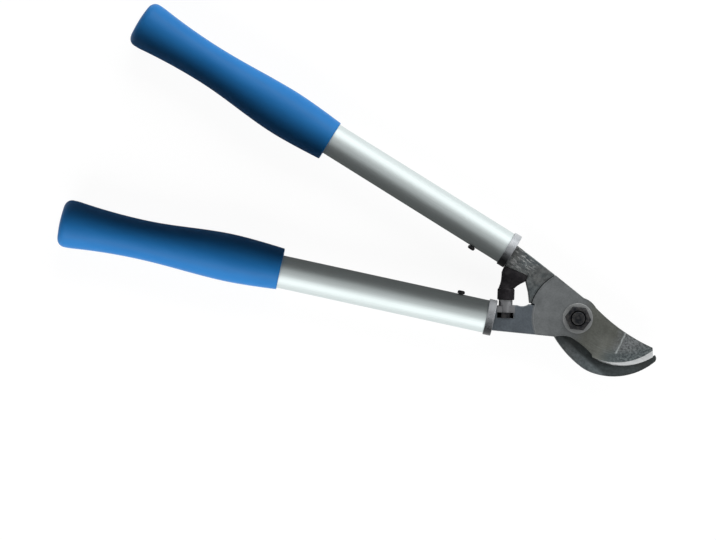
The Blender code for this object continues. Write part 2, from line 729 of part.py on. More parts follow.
def make_grip(arm, look):
    """Moulded sleeve with a closed butt, lofted through its sections from mouth to butt."""
    rings = []
    halfway = MOUTH_ROUNDING * (1 - math.sqrt(0.5))
    for height, inset in ((0, MOUTH_ROUNDING), (halfway, halfway)):
        width, depth, shift = grip_section(GRIP_LENGTH)
        rings.append(oval(width - 2 * inset, depth - 2 * inset, shift, height))
    body = GRIP_LENGTH - MOUTH_ROUNDING - BUTT_ROUNDING - BUTT_DOME
    for step in range(GRIP_STEPS + 1):
        height = MOUTH_ROUNDING + body * step / GRIP_STEPS
        rings.append(oval(*grip_section(GRIP_LENGTH - height), height))
    for step in range(1, BUTT_STEPS + 1):
        angle = math.pi / 2 * step / BUTT_STEPS
        height = GRIP_LENGTH - BUTT_ROUNDING * (1 - math.sin(angle)) - BUTT_DOME
        inset = BUTT_ROUNDING * (1 - math.cos(angle))
        width, depth, shift = grip_section(0)
        rings.append(oval(width - 2 * inset, depth - 2 * inset, shift, height))
    rings.append([(-WAIST_SHIFT, 0, GRIP_LENGTH)])
    bore = TUBE_RADIUS + GAP
    rings.append([(0, 0, GRIP_LENGTH - BUTT_WALL)])
    rings.append(oval(2 * bore, 2 * bore, 0, GRIP_LENGTH - BUTT_WALL))
    rings.append(oval(2 * bore, 2 * bore, 0, 0))
    add_piece(arm.name + "_grip", loft(rings, closed=True), arm, look, arm.along_tube(arm.grip_start))


def hook_bumper_place():
    """Placement with local Z up the row's Y from the meeting point's level."""
    centre = Vector((HOOK_BUMPER_AT, 0))
    return placement(centre, Vector((1, 0, 0)), Vector((0, 1, 0)))


def make_hook_bumper(arm, look):
    """Rubber block whose foot lies in the tang's rebate, narrowing to where the buffers meet."""
    top = HOOK_SEAT - GAP
    shoulder = top - HOOK_BUMPER_FOOT_HEIGHT
    lowest = MEETING_POINT[1] - HOOK_BUMPER_TIP[0]
    drift = MEETING_POINT[0] - HOOK_BUMPER_AT
    levels = [(top, 0.0), (shoulder, 0.0)]
    for step in range(1, BUMPER_STEPS + 1):
        share = step / BUMPER_STEPS
        levels.append((shoulder - (shoulder - MEETING_POINT[1]) * share, math.sin(math.pi / 2 * share)))
    levels.append((lowest, 1.0))
    rings = []
    for height, share in levels:
        half_x = (HOOK_BUMPER_FOOT[0] * (1 - share) + HOOK_BUMPER_TIP[0] * share) / 2
        half_z = (HOOK_BUMPER_FOOT[1] * (1 - share) + HOOK_BUMPER_TIP[1] * share) / 2
        ring = []
        for side in range(PIN_SIDES):
            angle = 2 * math.pi * side / PIN_SIDES
            reach = (abs(math.cos(angle)) ** BLOCK_SQUARENESS
                     + abs(math.sin(angle)) ** BLOCK_SQUARENESS) ** (-1 / BLOCK_SQUARENESS)
            ring.append((half_x * math.cos(angle) * reach + drift * share,
                         half_z * math.sin(angle) * reach, height))
        rings.append(ring)
    piece = add_piece("hook_bumper", loft(rings, closed=False), arm, look, hook_bumper_place())
    side = HOOK_BUMPER_FOOT[0]
    cut(piece, "meeting_face", box((-side, -side, -GAP / 2), (side, side, side)), column_place(0))
    stud_bottom = HOOK_SEAT - GAP - HOOK_STUD_IN_RUBBER
    cut(piece, "stud_hole", cylinder(STUD_DIAMETER / 2 + GAP, stud_bottom - GAP, HOOK_SEAT + GAP),
        hook_bumper_place())


def make_hook_bumper_stud(arm, look):
    stud = chamfered_rod(STUD_DIAMETER / 2, HOOK_SEAT - GAP - HOOK_STUD_IN_RUBBER,
                         HOOK_SEAT + HOOK_STUD_IN_TANG, STUD_CHAMFER)
    add_piece("hook_bumper_stud", stud, arm, look, hook_bumper_place())


def make_blade_bumper(arm, look):
    radius = BLADE_BUMPER_DIAMETER / 2
    height = BLADE_BUMPER_HEIGHT
    hole = STUD_DIAMETER / 2 + GAP
    edge = RUBBER_EDGE
    buffer = turned([(0, 0), (radius - edge, 0), (radius, edge), (radius, height - edge),
                     (radius - edge, height), (hole, height), (hole, height - STUD_IN_RUBBER - GAP),
                     (0, height - STUD_IN_RUBBER - GAP)], PIN_SIDES)
    add_piece("blade_bumper", buffer, arm, look, column_place(GAP / 2))


def make_blade_bumper_stud(arm, look):
    length = STUD_IN_RUBBER + GAP + BOSS_HEIGHT + GAP + BUMPER_NUT_HEIGHT
    stud = chamfered_rod(STUD_DIAMETER / 2, 0, length, STUD_CHAMFER)
    add_piece("blade_bumper_stud", stud, arm, look, column_place(BOSS_START - GAP - STUD_IN_RUBBER))


def make_blade_bumper_nut(arm, look):
    nut = hexagon(BUMPER_NUT_FLATS, 0, BUMPER_NUT_HEIGHT)
    piece = add_piece("blade_bumper_nut", nut, arm, look, column_place(SLOT_START + GAP))
    hole = cylinder(STUD_DIAMETER / 2 + GAP, -ABOVE, SLOT_HEIGHT)
    cut(piece, "hole", hole, column_place(SLOT_START + GAP))


def make_pivot(hook_arm, blade_arm, black, steel, bronze):
    hole = BOLT_RADIUS + GAP
    shank = chamfered_rod(BOLT_RADIUS, HEAD_HEIGHT / 2, BOLT_TOP_Z, BOLT_CHAMFER)
    head = hexagon(HEAD_ACROSS_FLATS, 0, HEAD_HEIGHT)
    chamfer_down = Matrix.Rotation(math.pi, 3, "X")
    bmesh.ops.rotate(head, verts=head.verts, cent=(0, 0, HEAD_HEIGHT / 2), matrix=chamfer_down)
    bolt = add_piece("pivot_bolt", head, hook_arm, black)
    join(bolt, "shank", shank)
    nut = add_piece("pivot_nut", hexagon(NUT_ACROSS_FLATS, NUT_Z, NUT_Z + NUT_HEIGHT), hook_arm, black)
    nut.rotation_euler.z = NUT_TURN
    cut(nut, "thread", cylinder(hole, 0, BOLT_TOP_Z + ABOVE))
    for name, low in (("pivot_washer_back", WASHER_BACK_Z), ("pivot_washer_front", WASHER_FRONT_Z)):
        high = low + WASHER_THICKNESS
        edge = WASHER_EDGE
        outer = WASHER_DIAMETER / 2
        washer = turned([(hole, low), (outer - edge, low), (outer, low + edge), (outer, high - edge),
                         (outer - edge, high), (hole, high)], TUBE_SIDES)
        add_piece(name, washer, hook_arm, steel)
    bush = turned([(hole, BLADE_BACK_Z), (BUSH_RADIUS, BLADE_BACK_Z), (BUSH_RADIUS, BLADE_FRONT_Z),
                   (hole, BLADE_FRONT_Z)], PIN_SIDES)
    add_piece("pivot_bush", bush, blade_arm, bronze)


remove_old_objects()
HOOK = Arm("hook", 1, HOOK_ARM_OFFSET, HOOK_MOUTH, HOOK_BARE_TUBE)
BLADE = Arm("blade", -1, BLADE_ARM_OFFSET, BLADE_MOUTH, BLADE_BARE_TUBE)

black_steel = finish("black_steel", (0.035, 0.036, 0.038), 0.45, 0.9)
washer_steel = finish("washer_steel", (0.27, 0.27, 0.27), 0.38, 1.0)
bush_bronze = finish("bush_bronze", (0.55, 0.38, 0.18), 0.4, 1.0)
dark_forging = finish("dark_forging", (0.13, 0.13, 0.13), 0.50, 0.9)
ground_steel = finish("ground_steel", (0.24, 0.24, 0.24), 0.40, 1.0)
satin_aluminium = finish("satin_aluminium", (0.78, 0.78, 0.76), 0.38, 1.0)
polished_ring = finish("polished_ring", (0.45, 0.46, 0.48), 0.30, 1.0)
blue_moulding = finish("blue_moulding", (0.012, 0.16, 0.46), 0.55, 0.0)
black_rubber = finish("black_rubber", (0.02, 0.018, 0.02), 0.75, 0.0)

make_hook_blade(HOOK, dark_forging)
make_cutting_blade(BLADE, ground_steel)
for each_arm in (HOOK, BLADE):
    make_tube(each_arm, satin_aluminium)
    make_collar(each_arm, polished_ring)
    make_tube_screw(each_arm, black_steel)
    make_grip(each_arm, blue_moulding)
make_hook_bumper(HOOK, black_rubber)
make_hook_bumper_stud(HOOK, black_steel)
make_blade_bumper(BLADE, black_rubber)
make_blade_bumper_stud(BLADE, black_steel)
make_blade_bumper_nut(BLADE, black_steel)
make_pivot(HOOK, BLADE, black_steel, washer_steel, bush_bronze)
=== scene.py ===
"""Looks of the bypass lopper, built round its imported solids.

Units are metres. Z is the pivot axis, X runs along the bisector of the handles towards the
jaws, and Y towards the hook's handle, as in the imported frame.
"""
import json
import math

import bmesh
import bpy
from mathutils import Matrix, Vector


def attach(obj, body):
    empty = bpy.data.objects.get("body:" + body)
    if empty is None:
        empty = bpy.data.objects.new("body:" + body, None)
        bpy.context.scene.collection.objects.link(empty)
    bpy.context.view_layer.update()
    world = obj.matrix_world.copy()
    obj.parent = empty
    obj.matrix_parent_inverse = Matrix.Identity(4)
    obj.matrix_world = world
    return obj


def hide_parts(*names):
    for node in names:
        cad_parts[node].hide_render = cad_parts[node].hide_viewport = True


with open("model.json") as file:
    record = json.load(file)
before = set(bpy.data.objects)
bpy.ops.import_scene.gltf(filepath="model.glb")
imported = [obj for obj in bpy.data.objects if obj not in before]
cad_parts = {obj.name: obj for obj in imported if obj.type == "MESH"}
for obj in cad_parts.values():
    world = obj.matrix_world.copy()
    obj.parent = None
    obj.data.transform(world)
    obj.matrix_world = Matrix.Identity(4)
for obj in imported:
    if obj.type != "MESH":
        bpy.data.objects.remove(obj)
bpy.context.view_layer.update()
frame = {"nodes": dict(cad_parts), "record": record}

# Photograph: its frame, and where and how large the lopper lies in it
PHOTO_WIDTH = 716
PHOTO_HEIGHT = 540
PIVOT_PIXEL = (577.2, 318.2)
PIXEL_SIZE = 0.025 / 33
HANDLES_TILT = math.radians(22.16)
CAMERA_DISTANCE = 3.0
SENSOR_WIDTH = 36.0

# Arms, as packed: angle from the bisector, distance from the pivot, places along the tube
AXIS_Z = 0.017
ARM_ANGLE = math.radians(9.86)
ARMS = {
    "hook": {"side": 1, "offset": 0.0165, "mouth": 0.0695, "grip": 0.2300},
    "blade": {"side": -1, "offset": 0.0134, "mouth": 0.0632, "grip": 0.2275},
}
CLEARANCE = 0.0003

# Tubes, collars and their screws
TUBE_RADIUS = 0.0125
TUBE_WALL = 0.00125
TUBE_BORE = TUBE_RADIUS - TUBE_WALL
TUBE_EDGE = TUBE_WALL / 5
TUBE_PAST_GRIP = 0.1627
COLLAR_WALL = 0.0009
COLLAR_EDGE = COLLAR_WALL / 2
COLLAR_LIP = 0.0012
COLLAR_SLEEVE = 0.0045
SCREW_SETBACK = 0.0268
SCREW_RADIUS = 0.002
SCREW_POINT = SCREW_RADIUS / 4
SCREW_HEAD_RADIUS = 0.0028
SCREW_HEAD_HEIGHT = 0.0024
SCREW_HEAD_EDGE = SCREW_HEAD_HEIGHT / 10
SCREW_HEAD_DOME = SCREW_HEAD_HEIGHT / 2
SCREW_LENGTH = 0.011
RECESS_WIDTH = 0.0007
RECESS_LENGTH = 0.0032
RECESS_DEPTH = 0.0013

# Grips: widths from above, their distances from the butt, and the curves between them
GRIP_LENGTH = 0.1709
GRIP_SIZES = {
    "Length": GRIP_LENGTH, "Butt width": 0.0362, "Waist width": 0.0300, "Belly width": 0.0362,
    "Mouth width": 0.0315, "Butt at": 0.011, "Waist at": 0.063, "Belly at": 0.132,
    "Waist depth": 0.0292, "Full depth": 2 * AXIS_Z, "Waist shift": 0.0013,
    "Belly shift": 0.0020, "Parting line": 0.00012,
}
SQUEEZE_POWER = 2.0
TAPER_POWER = 1.5
PARTING_FADE = 0.035
BUTT_ROUNDING = 0.006
BUTT_DOME = 0.0008
BUTT_WALL = 0.008
MOUTH_ROUNDING = 0.0006

# Pivot: heights of its stack and sizes of its fasteners
WASHER_RADIUS = 0.0115
WASHER_THICKNESS = 0.002
WASHER_EDGE = WASHER_THICKNESS / 5
WASHER_BACK_Z = 0.0068
WASHER_FRONT_Z = 0.02295
BOLT_RADIUS = 0.005
BOLT_FLATS = 0.017
HEAD_HEIGHT = 0.0065
NUT_Z = 0.02525
NUT_HEIGHT = 0.008
NUT_TURN = math.radians(15)
BOLT_TOP_Z = 0.03505
BUSH_WALL = 0.0015
BLADE_BACK_Z = 0.01715
BLADE_FRONT_Z = 0.02265
BOLT_PITCH = 0.0015
CORNER_SLOPE = math.tan(math.radians(30))

# Bumpers: where the two buffers meet, and the column of the blade's one
MEETING_POINT = (-0.0584, 0.0007)
COLUMN_TILT = math.radians(20)
BUFFER_RADIUS = 0.0065
BUFFER_HEIGHT = 0.0084
BUFFER_EDGE = 0.0009
BOSS_HEIGHT = 0.0095
STUD_RADIUS = 0.003
STUD_IN_RUBBER = 0.004
BUMPER_NUT_FLATS = 0.0108
BUMPER_NUT_HEIGHT = 0.00416
HOOK_SEAT = 0.0153
HOOK_BUMPER_AT = -0.0566
HOOK_STUD_IN_RUBBER = 0.006
HOOK_STUD_IN_TANG = 0.0085
STUD_PITCH = 0.001

# Steps of the turned and moulded shapes, their threads, and the edges of the finished solids;
# a piece without flats has them far outside
NO_FLATS = 1.0
ROUND_SIDES = 96
GRIP_SIDES = 180
GRIP_STEPS = 56
ROUNDING_STEPS = 4
THREAD_ROWS = 8
THREAD_SHARE = 0.55
THREAD_PLAY = 0.0001
SCREW_PITCH = 0.0007
CHAMFER_FACE = 0.94
TOUCHING = 0.00002
FORGED_BREAK = 0.00012
GROUND_BREAK = 0.00008
RUBBER_BREAK = 0.0006
FLAT_ANGLE = math.radians(0.4)
KEEN_ANGLE = math.radians(50)
SHARP_ANGLE = math.radians(32)
MERGE_DISTANCE = 0.000001
SOLID_MERGE_DISTANCE = 0.000005

# Blade: the arc of its cutting edge, its lower outline before the heel, how upright the normals
# of its bevel and of its flat are, its round shoulder, its boss, and the ridge of its tip facet
BLADE_HEEL = Vector((0.0220, -0.0243))
BLADE_TIP = Vector((0.0643, -0.0055))
EDGE_RISE = 0.0060
EDGE_CHORD = BLADE_TIP - BLADE_HEEL
EDGE_RADIUS = ((EDGE_CHORD.length / 2) ** 2 + EDGE_RISE ** 2) / (2 * EDGE_RISE)
EDGE_CENTRE = (BLADE_HEEL + EDGE_CHORD / 2
               + Vector((EDGE_CHORD.y, -EDGE_CHORD.x)).normalized() * (EDGE_RISE - EDGE_RADIUS))
BLADE_NOTCH = Vector((-0.0020, -0.0158))
BEVEL_REACH = 0.0062
BEVEL_UPRIGHT_MOST = (0.83, 0.81)
BEVEL_UPRIGHT_LEAST = (0.20, 0.25)
FLAT_UPRIGHT = (0.96, 0.98)
SHOULDER_RADIUS = 0.034
SHOULDER_HIGHLIGHT_REACH = (0.0003, 0.0011)
BOSS_MIDDLE = Vector((-0.0536, -0.0120))
BOSS_HALF_WIDTH = 0.0066
BOSS_HALF_HEIGHT = 0.0048
BOSS_FADE = 0.0006
RIDGE_AT = 0.0378
RIDGE_TURN = math.radians(-4.4)
RIDGE_WIDTH = 0.0009
RIDGE_WANDER = 0.0014

# Looks of the forgings: where each begins and is full, by X, by Y or by distance
JAW_X = (-0.012, 0.018)
JAW_Y = (-0.014, -0.020)
SCRAPES_AT = (-0.0520, 0.0265)
SCRAPES_REACH = (0.015, 0.005)
SCRAPES_X = (-0.038, -0.050)
SCRAPES_TURN = math.radians(-11)
# Painted shadow of the blade on the hook: where it lies by X, past the edge and below the notch
PAINTED_BLADE_SHADOW_X = (-0.014, -0.008)
PAINTED_BLADE_SHADOW_PAST_EDGE = (EDGE_RADIUS + 0.0019, EDGE_RADIUS + 0.0006)
PAINTED_BLADE_SHADOW_BELOW_NOTCH = (-0.0038, -0.0016)
BEVEL_X = (BLADE_HEEL.x - 0.004, BLADE_HEEL.x - 0.002)
BEVEL_FROM = (EDGE_RADIUS - BEVEL_REACH - 0.0002, EDGE_RADIUS - BEVEL_REACH)
BRIGHT_BEVEL_X = (BLADE_HEEL.x + 0.003, BLADE_HEEL.x + 0.018)
BAND_X = (0.024, 0.034)
BAND_FROM = (EDGE_RADIUS - 0.0130, EDGE_RADIUS - 0.0075)
GRINDING_X = (0.010, BLADE_HEEL.x)
GRINDING_FROM = (EDGE_RADIUS - 0.022, EDGE_RADIUS - 0.010)
GRINDING_STRETCH = 0.05
HONING_STRETCH = 0.04
OLIVE_AT_X = 0.029
OLIVE_WANDER = 0.02
OLIVE_REACH = (0.020, 0.010)
TIP_X = (0.030, 0.042)
TANG_X = (-0.010, -0.014)
TANG_Y = (-0.0018, -0.0024)
TANG_FROM = (SHOULDER_RADIUS - 0.0004, SHOULDER_RADIUS + 0.0004)

# Colours, linear; a pair is the two ends of a mottle
BLUE = (0.012, 0.137, 0.380), (0.016, 0.154, 0.414)
RUBBED_BLUE = (0.08, 0.28, 0.58)
ALUMINIUM = (0.68, 0.745, 0.742), (0.745, 0.815, 0.812)
HANDLING_MARK = (0.56, 0.60, 0.60)
RING = (0.37, 0.39, 0.41), (0.45, 0.465, 0.48)
# Painted shade on the side of the collars that faces -Y
PAINTED_RING_SHADE = (0.020, 0.021, 0.024)
COOL_SCALE = (0.063, 0.076, 0.081), (0.166, 0.188, 0.194)
NEUTRAL_SCALE = (0.076, 0.080, 0.078), (0.206, 0.211, 0.206)
# Jaw: its own bluer tone, lightened further as painted light where the blade shades it
JAW_PAINTED_LIGHT = (0.115, 0.138, 0.146), (0.245, 0.282, 0.294)
FORGED_RIM = (0.044, 0.050, 0.051)
# Scrapes on the hook's tang, carrying a painted highlight
SCRAPE_AND_HIGHLIGHT = (0.56, 0.57, 0.56)
# Painted shadow of the blade on the hook
PAINTED_BLADE_SHADOW = (0.022, 0.028, 0.026)
RUBBED_FORGING = (0.24, 0.25, 0.25)
SLATE = (0.182, 0.194, 0.199), (0.284, 0.300, 0.306)
OLIVE = (0.136, 0.142, 0.126), (0.222, 0.230, 0.208)
TANG = (0.118, 0.138, 0.158), (0.190, 0.220, 0.250)
BOSS = (0.33, 0.325, 0.33)
GRINDING_LINE = (0.36, 0.38, 0.37)
BAND = (0.110, 0.146, 0.153)
FLECK = (0.066, 0.078, 0.082)
GLINT = (0.34, 0.365, 0.37)
BLADE_RIM = (0.060, 0.066, 0.066)
# Painted highlight along the step at the blade's round shoulder
SHOULDER_HIGHLIGHT = (0.42, 0.44, 0.45)
# Painted highlight along the ridge of the tip facet
RIDGE_HIGHLIGHT = (0.60, 0.65, 0.65)
RUBBED_BLADE = (0.40, 0.41, 0.41)
DULL_BEVEL = (0.14, 0.15, 0.15), (0.24, 0.25, 0.25)
BRIGHT_BEVEL = (0.58, 0.60, 0.61), (0.80, 0.82, 0.82)
OXIDE = (0.022, 0.024, 0.029), (0.070, 0.068, 0.067)
RUBBED_OXIDE = (0.10, 0.10, 0.10)
WASHER = (0.24, 0.25, 0.25), (0.39, 0.40, 0.40)
RUBBED_WASHER = (0.34, 0.35, 0.35)
BRONZE = (0.46, 0.31, 0.14), (0.60, 0.42, 0.20)
RUBBER = (0.009, 0.008, 0.010), (0.034, 0.031, 0.034)
RUBBED_RUBBER = (0.050, 0.050, 0.052)

# Stage: the floor's glow by distance, the dark card's sections of (x, reach, fin's top), the lamps
FLOOR_REACH = 8.0
FLOOR_GAP = 0.0002
FLOOR_GLOW = (0.92, 1.0)
FLOOR_GLOW_REACH = (0.5, 0.9)
FLOOR_CATCH = 0.10
FLOOR_BOUNCE = 0.5
CARD_SECTIONS = ((-0.052, 0.010, 0.09), (-0.405, 0.065, 0.15))
CARD_LIFT = 0.001
CARD_COLOUR = 0.02
CARD_GREY = 0.10
CARD_ROUGHNESS = 0.9
HORIZON_TO_OVERHEAD = (0.15, 0.95)
OVERHEAD_GREY = 0.50
AMBIENT = 0.08
SOFTBOX_WIDTH = 1.8
SOFTBOX_HEIGHT = 0.9
SOFTBOX_DISTANCE = 1.0
SOFTBOX_AT = 0.08
SHEEN_RISE = math.radians(35)
SHEEN_RADIANCE = 0.81
FILL_RISE = math.radians(26)
FILL_RADIANCE = 3.85

# Edges rubbed bright or dark: how far a softened normal turns away there, and a noise's patches
EDGE_SAMPLES = 6
EDGE_TURNS_AWAY = (0.01, 0.12)
EDGE_PATCHES = (0.42, 0.60, 0.2)

# Places of a colour Mix node's sockets, some of which share a name
MIX_SHARE, MIX_FIRST, MIX_SECOND, MIX_RESULT = 0, 6, 7, 2
WHITE = (1, 1, 1, 1)

BODY_OF = {node: body for body, nodes in frame["record"]["behaviour"]["bodies"].items()
           for node in nodes}
SLOT_OF = {subpart["node"]: subpart["material_slot"] for subpart in frame["record"]["subparts"]}
PIECES = {}


def math_node(operation, swapped=False):
    """Method that adds a Math node for a value and, where the operation has one, a second."""
    def method(value, *others):
        values = (*others, value) if swapped else (value, *others)
        return value.wiring.add("ShaderNodeMath", dict(enumerate(values)), operation=operation)
    return method


class Value:
    """What a node gives. Calculating with it adds Math nodes to its tree."""

    def __init__(self, wiring, socket):
        self.wiring = wiring
        self.socket = socket

    __add__ = math_node("ADD")
    __sub__ = math_node("SUBTRACT")
    __rsub__ = math_node("SUBTRACT", swapped=True)
    __mul__ = math_node("MULTIPLY")
    __truediv__ = math_node("DIVIDE")
    __mod__ = math_node("MODULO")
    __pow__ = math_node("POWER")
    __abs__ = math_node("ABSOLUTE")
    __round__ = math_node("ROUND")
    cosine = math_node("COSINE")
    sine = math_node("SINE")
    larger = math_node("MAXIMUM")
    smaller = math_node("MINIMUM")
    ping_pong = math_node("PINGPONG")
    is_above = math_node("GREATER_THAN")

    def share(self, start, end, low=0.0, high=1.0):
        """Where this lies between start and end, as a share that is held within low and high."""
        return self.wiring.add("ShaderNodeMapRange", {
            "Value": self, "From Min": start, "From Max": end, "To Min": low, "To Max": high})

    def blend(self, first, second):
        """Number between two numbers, by this share."""
        return self.share(0.0, 1.0, first, second)

    def axis(self, name):
        """One number of this place or direction."""
        return self.wiring.add("ShaderNodeSeparateXYZ", {"Vector": self}, name)


class Wiring:
    """Adds nodes to a tree, each with its inputs set or joined, and gives back their values."""

    def __init__(self, tree):
        self.tree = tree

    def add(self, kind, inputs=None, output=0, **settings):
        node = self.tree.nodes.new(kind)
        for name, setting in settings.items():
            setattr(node, name, setting)
        for name, value in (inputs or {}).items():
            self.join(value, enabled_socket(node.inputs, name))
        return Value(self, enabled_socket(node.outputs, output))

    def join(self, value, socket):
        """Links a node's value to a socket, or sets a plain number or colour on it."""
        if isinstance(value, Value):
            self.tree.links.new(value.socket, socket)
        else:
            socket.default_value = value

    def point(self, x=0.0, y=0.0, z=0.0):
        """A place made of three numbers."""
        return self.add("ShaderNodeCombineXYZ", {"X": x, "Y": y, "Z": z})

    def end(self, kind, name, value):
        """Adds the tree's last node, with its one input."""
        self.join(value, self.tree.nodes.new(kind).inputs[name])


def enabled_socket(sockets, name):
    """The socket in use that has a name, or that is at a place in the list."""
    if isinstance(name, int):
        return sockets[name]
    return next(socket for socket in sockets if socket.name == name and socket.enabled)


def in_scene(name, data):
    """New object in the scene."""
    made = bpy.data.objects.new(name, data)
    bpy.context.scene.collection.objects.link(made)
    return made


class ShapeTree(Wiring):
    """A Geometry Nodes tree whose mesh is the profile, and whose sizes are named inputs."""

    def __init__(self, name):
        super().__init__(bpy.data.node_groups.new(name, "GeometryNodeTree"))
        self.tree.interface.new_socket("Shape", in_out="OUTPUT", socket_type="NodeSocketGeometry")
        self.start = self.tree.nodes.new("NodeGroupInput")
        self.sockets = {}
        self.profile = self.input("Profile", "NodeSocketGeometry")
        self.material = self.input("Material", "NodeSocketMaterial")

    def input(self, name, kind="NodeSocketFloat"):
        """A named input of the tree."""
        self.sockets[name] = self.tree.interface.new_socket(name, in_out="INPUT", socket_type=kind)
        return Value(self, self.start.outputs[name])

    def grid(self, sides):
        """Grid with a column for each step round the piece and a row for each profile point."""
        rows = self.add("GeometryNodeAttributeDomainSize", {"Geometry": self.profile},
                        "Point Count", component="MESH")
        mesh = self.add("GeometryNodeMeshGrid", {"Size X": 1.0, "Size Y": 1.0, "Vertices Y": rows,
                                                 "Vertices X": sides + 1}, "Mesh")
        place = self.add("GeometryNodeInputPosition")
        angle = (place.axis("X") + 0.5) * (2 * math.pi)
        row = round((place.axis("Y") + 0.5) * (rows - 1))
        return mesh, angle, row

    def from_profile(self, value, row, kind="FLOAT"):
        """What a field says at a row's point of the profile."""
        return self.add("GeometryNodeSampleIndex", {"Geometry": self.profile, "Value": value,
                                                    "Index": row},
                        "Value", data_type=kind, domain="POINT")

    def noted(self, name, row):
        """A number that was noted on the profile's points."""
        attribute = self.add("GeometryNodeInputNamedAttribute", {"Name": name}, "Attribute",
                             data_type="FLOAT")
        return self.from_profile(attribute, row)

    def profile_place(self, row):
        """Radius and height of a row's point."""
        place = self.from_profile(self.add("GeometryNodeInputPosition"), row, "FLOAT_VECTOR")
        return place.axis("X"), place.axis("Z")

    def close(self, mesh, x, y, z):
        """Moves the grid to its places and closes its seam and poles."""
        moved = self.add("GeometryNodeSetPosition", {"Geometry": mesh,
                                                     "Position": self.point(x, y, z)})
        return self.add("GeometryNodeMergeByDistance", {"Geometry": moved,
                                                        "Distance": MERGE_DISTANCE})

    def dress(self, mesh):
        """Ends the tree with its mesh in its material."""
        realized = self.add("GeometryNodeRealizeInstances", {"Geometry": mesh})
        self.end("NodeGroupOutput", "Shape", self.add(
            "GeometryNodeSetMaterial", {"Geometry": realized, "Material": self.material}))


def turned_tree():
    """Turns a profile about Z; flats cut it to a hexagon, and a thread winds where it is noted."""
    tree = ShapeTree("turned_piece")
    mesh, angle, row = tree.grid(tree.input("Sides", "NodeSocketInt"))
    radius, height = tree.profile_place(row)
    sixth = math.pi / 3
    beside = (angle - tree.input("Turn") + 2 * math.pi) % sixth - sixth / 2
    flat = tree.input("Across flats") * 0.5 / beside.cosine()
    beyond = (radius - flat).larger(0.0)
    height = height + beyond * tree.noted("slope", row)
    turns = height / tree.input("Thread pitch") - angle / (2 * math.pi)
    groove = turns.ping_pong(0.5) * tree.noted("thread", row)
    radius = radius - beyond - groove * tree.input("Thread depth")
    closed = tree.close(mesh, radius * angle.cosine(), radius * angle.sine(), height)
    tree.dress(with_recess_cut(tree, closed))
    return tree


def with_recess_cut(tree, mesh):
    """Cuts a cross recess into the top, where it has a depth."""
    centre = tree.point(z=tree.input("Recess top"))
    depth = tree.input("Recess depth")
    long_side = tree.input("Recess length")
    narrow_side = tree.input("Recess width")
    with_recess = mesh
    for across, along in ((long_side, narrow_side), (narrow_side, long_side)):
        size = tree.point(across, along, depth * 2.0)
        bar = tree.add("GeometryNodeMeshCube", {"Size": size}, "Mesh")
        bar = tree.add("GeometryNodeTransform", {"Geometry": bar, "Translation": centre})
        with_recess = tree.add("GeometryNodeMeshBoolean", {"Mesh 1": with_recess, "Mesh 2": bar},
                               "Mesh", operation="DIFFERENCE", solver="EXACT")
    return tree.add("GeometryNodeSwitch", {"Switch": depth.is_above(0.0), "False": mesh,
                                           "True": with_recess}, input_type="GEOMETRY")


def grip_tree():
    """Grip whose section swells and narrows by rule from its butt to its mouth."""
    tree = ShapeTree("moulded_grip")
    mesh, angle, row = tree.grid(tree.input("Sides", "NodeSocketInt"))
    size = {name: tree.input(name) for name in GRIP_SIZES}
    bore_radius, height = tree.profile_place(row)
    from_butt = size["Length"] - height
    squeeze = from_butt.share(size["Butt at"], size["Waist at"], 1.0, 0.0) ** SQUEEZE_POWER
    rise = from_butt.share(size["Waist at"], size["Belly at"], 0.0, math.pi)
    swell = (1.0 - rise.cosine()) * 0.5
    taper = from_butt.share(size["Belly at"], size["Length"]) ** TAPER_POWER
    wider = (squeeze * (size["Butt width"] - size["Waist width"])
             + swell * (size["Belly width"] - size["Waist width"])
             + taper * (size["Mouth width"] - size["Belly width"]))
    fullness = wider / (size["Belly width"] - size["Waist width"])
    width = size["Waist width"] + wider
    depth = size["Full depth"].smaller(
        size["Waist depth"] + fullness * (size["Full depth"] - size["Waist depth"]))
    shift = size["Waist shift"] + swell * (size["Belly shift"] - size["Waist shift"])
    cosine = angle.cosine()
    sine = angle.sine()
    beside_line = abs(sine).share(0.0, PARTING_FADE)
    inset = tree.noted("inset", row) + beside_line * size["Parting line"]
    scale = tree.noted("scale", row)
    in_bore = tree.noted("bore", row)
    x = (width * 0.5 - inset) * scale * cosine - shift
    y = (depth * 0.5 - inset) * scale * sine
    tree.dress(tree.close(mesh, in_bore.blend(x, bore_radius * cosine),
                          in_bore.blend(y, bore_radius * sine), height))
    return tree


def shape_from(tree, name, points, notes, sizes, material, place):
    """Runs a tree on a profile and gives back the plain object, with its place in its mesh."""
    mesh = bpy.data.meshes.new(name)
    edges = [(index, index + 1) for index in range(len(points) - 1)]
    mesh.from_pydata([(point[0], 0, point[1]) for point in points], edges, [])
    for column, note in enumerate(notes, 2):
        values = [point[column] for point in points]
        mesh.attributes.new(note, "FLOAT", "POINT").data.foreach_set("value", values)
    piece = in_scene(name, mesh)
    modifier = piece.modifiers.new("shape", "NODES")
    modifier.node_group = tree.tree
    for socket, value in {"Material": material, **sizes}.items():
        modifier[tree.sockets[socket].identifier] = value
    piece.update_tag()
    return plain(piece, place)


def made_plain(piece):
    """Turns what an object's modifiers make into its own mesh, and removes them."""
    graph = bpy.context.evaluated_depsgraph_get()
    made = bpy.data.meshes.new_from_object(piece.evaluated_get(graph))
    piece.modifiers.clear()
    piece.data = made
    return made


def plain(piece, place=None):
    """Turns an object with modifiers into a plain, smoothly shaded mesh at the origin."""
    made = made_plain(piece)
    if place is not None:
        made.transform(place)
    made.shade_smooth()
    made.set_sharp_from_angle(angle=SHARP_ANGLE)
    return piece


def dress(piece, node):
    """Stands a piece for its CAD node, on the node's body, and hides the node."""
    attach(piece, BODY_OF[node])
    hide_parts(node)
    PIECES[node] = piece


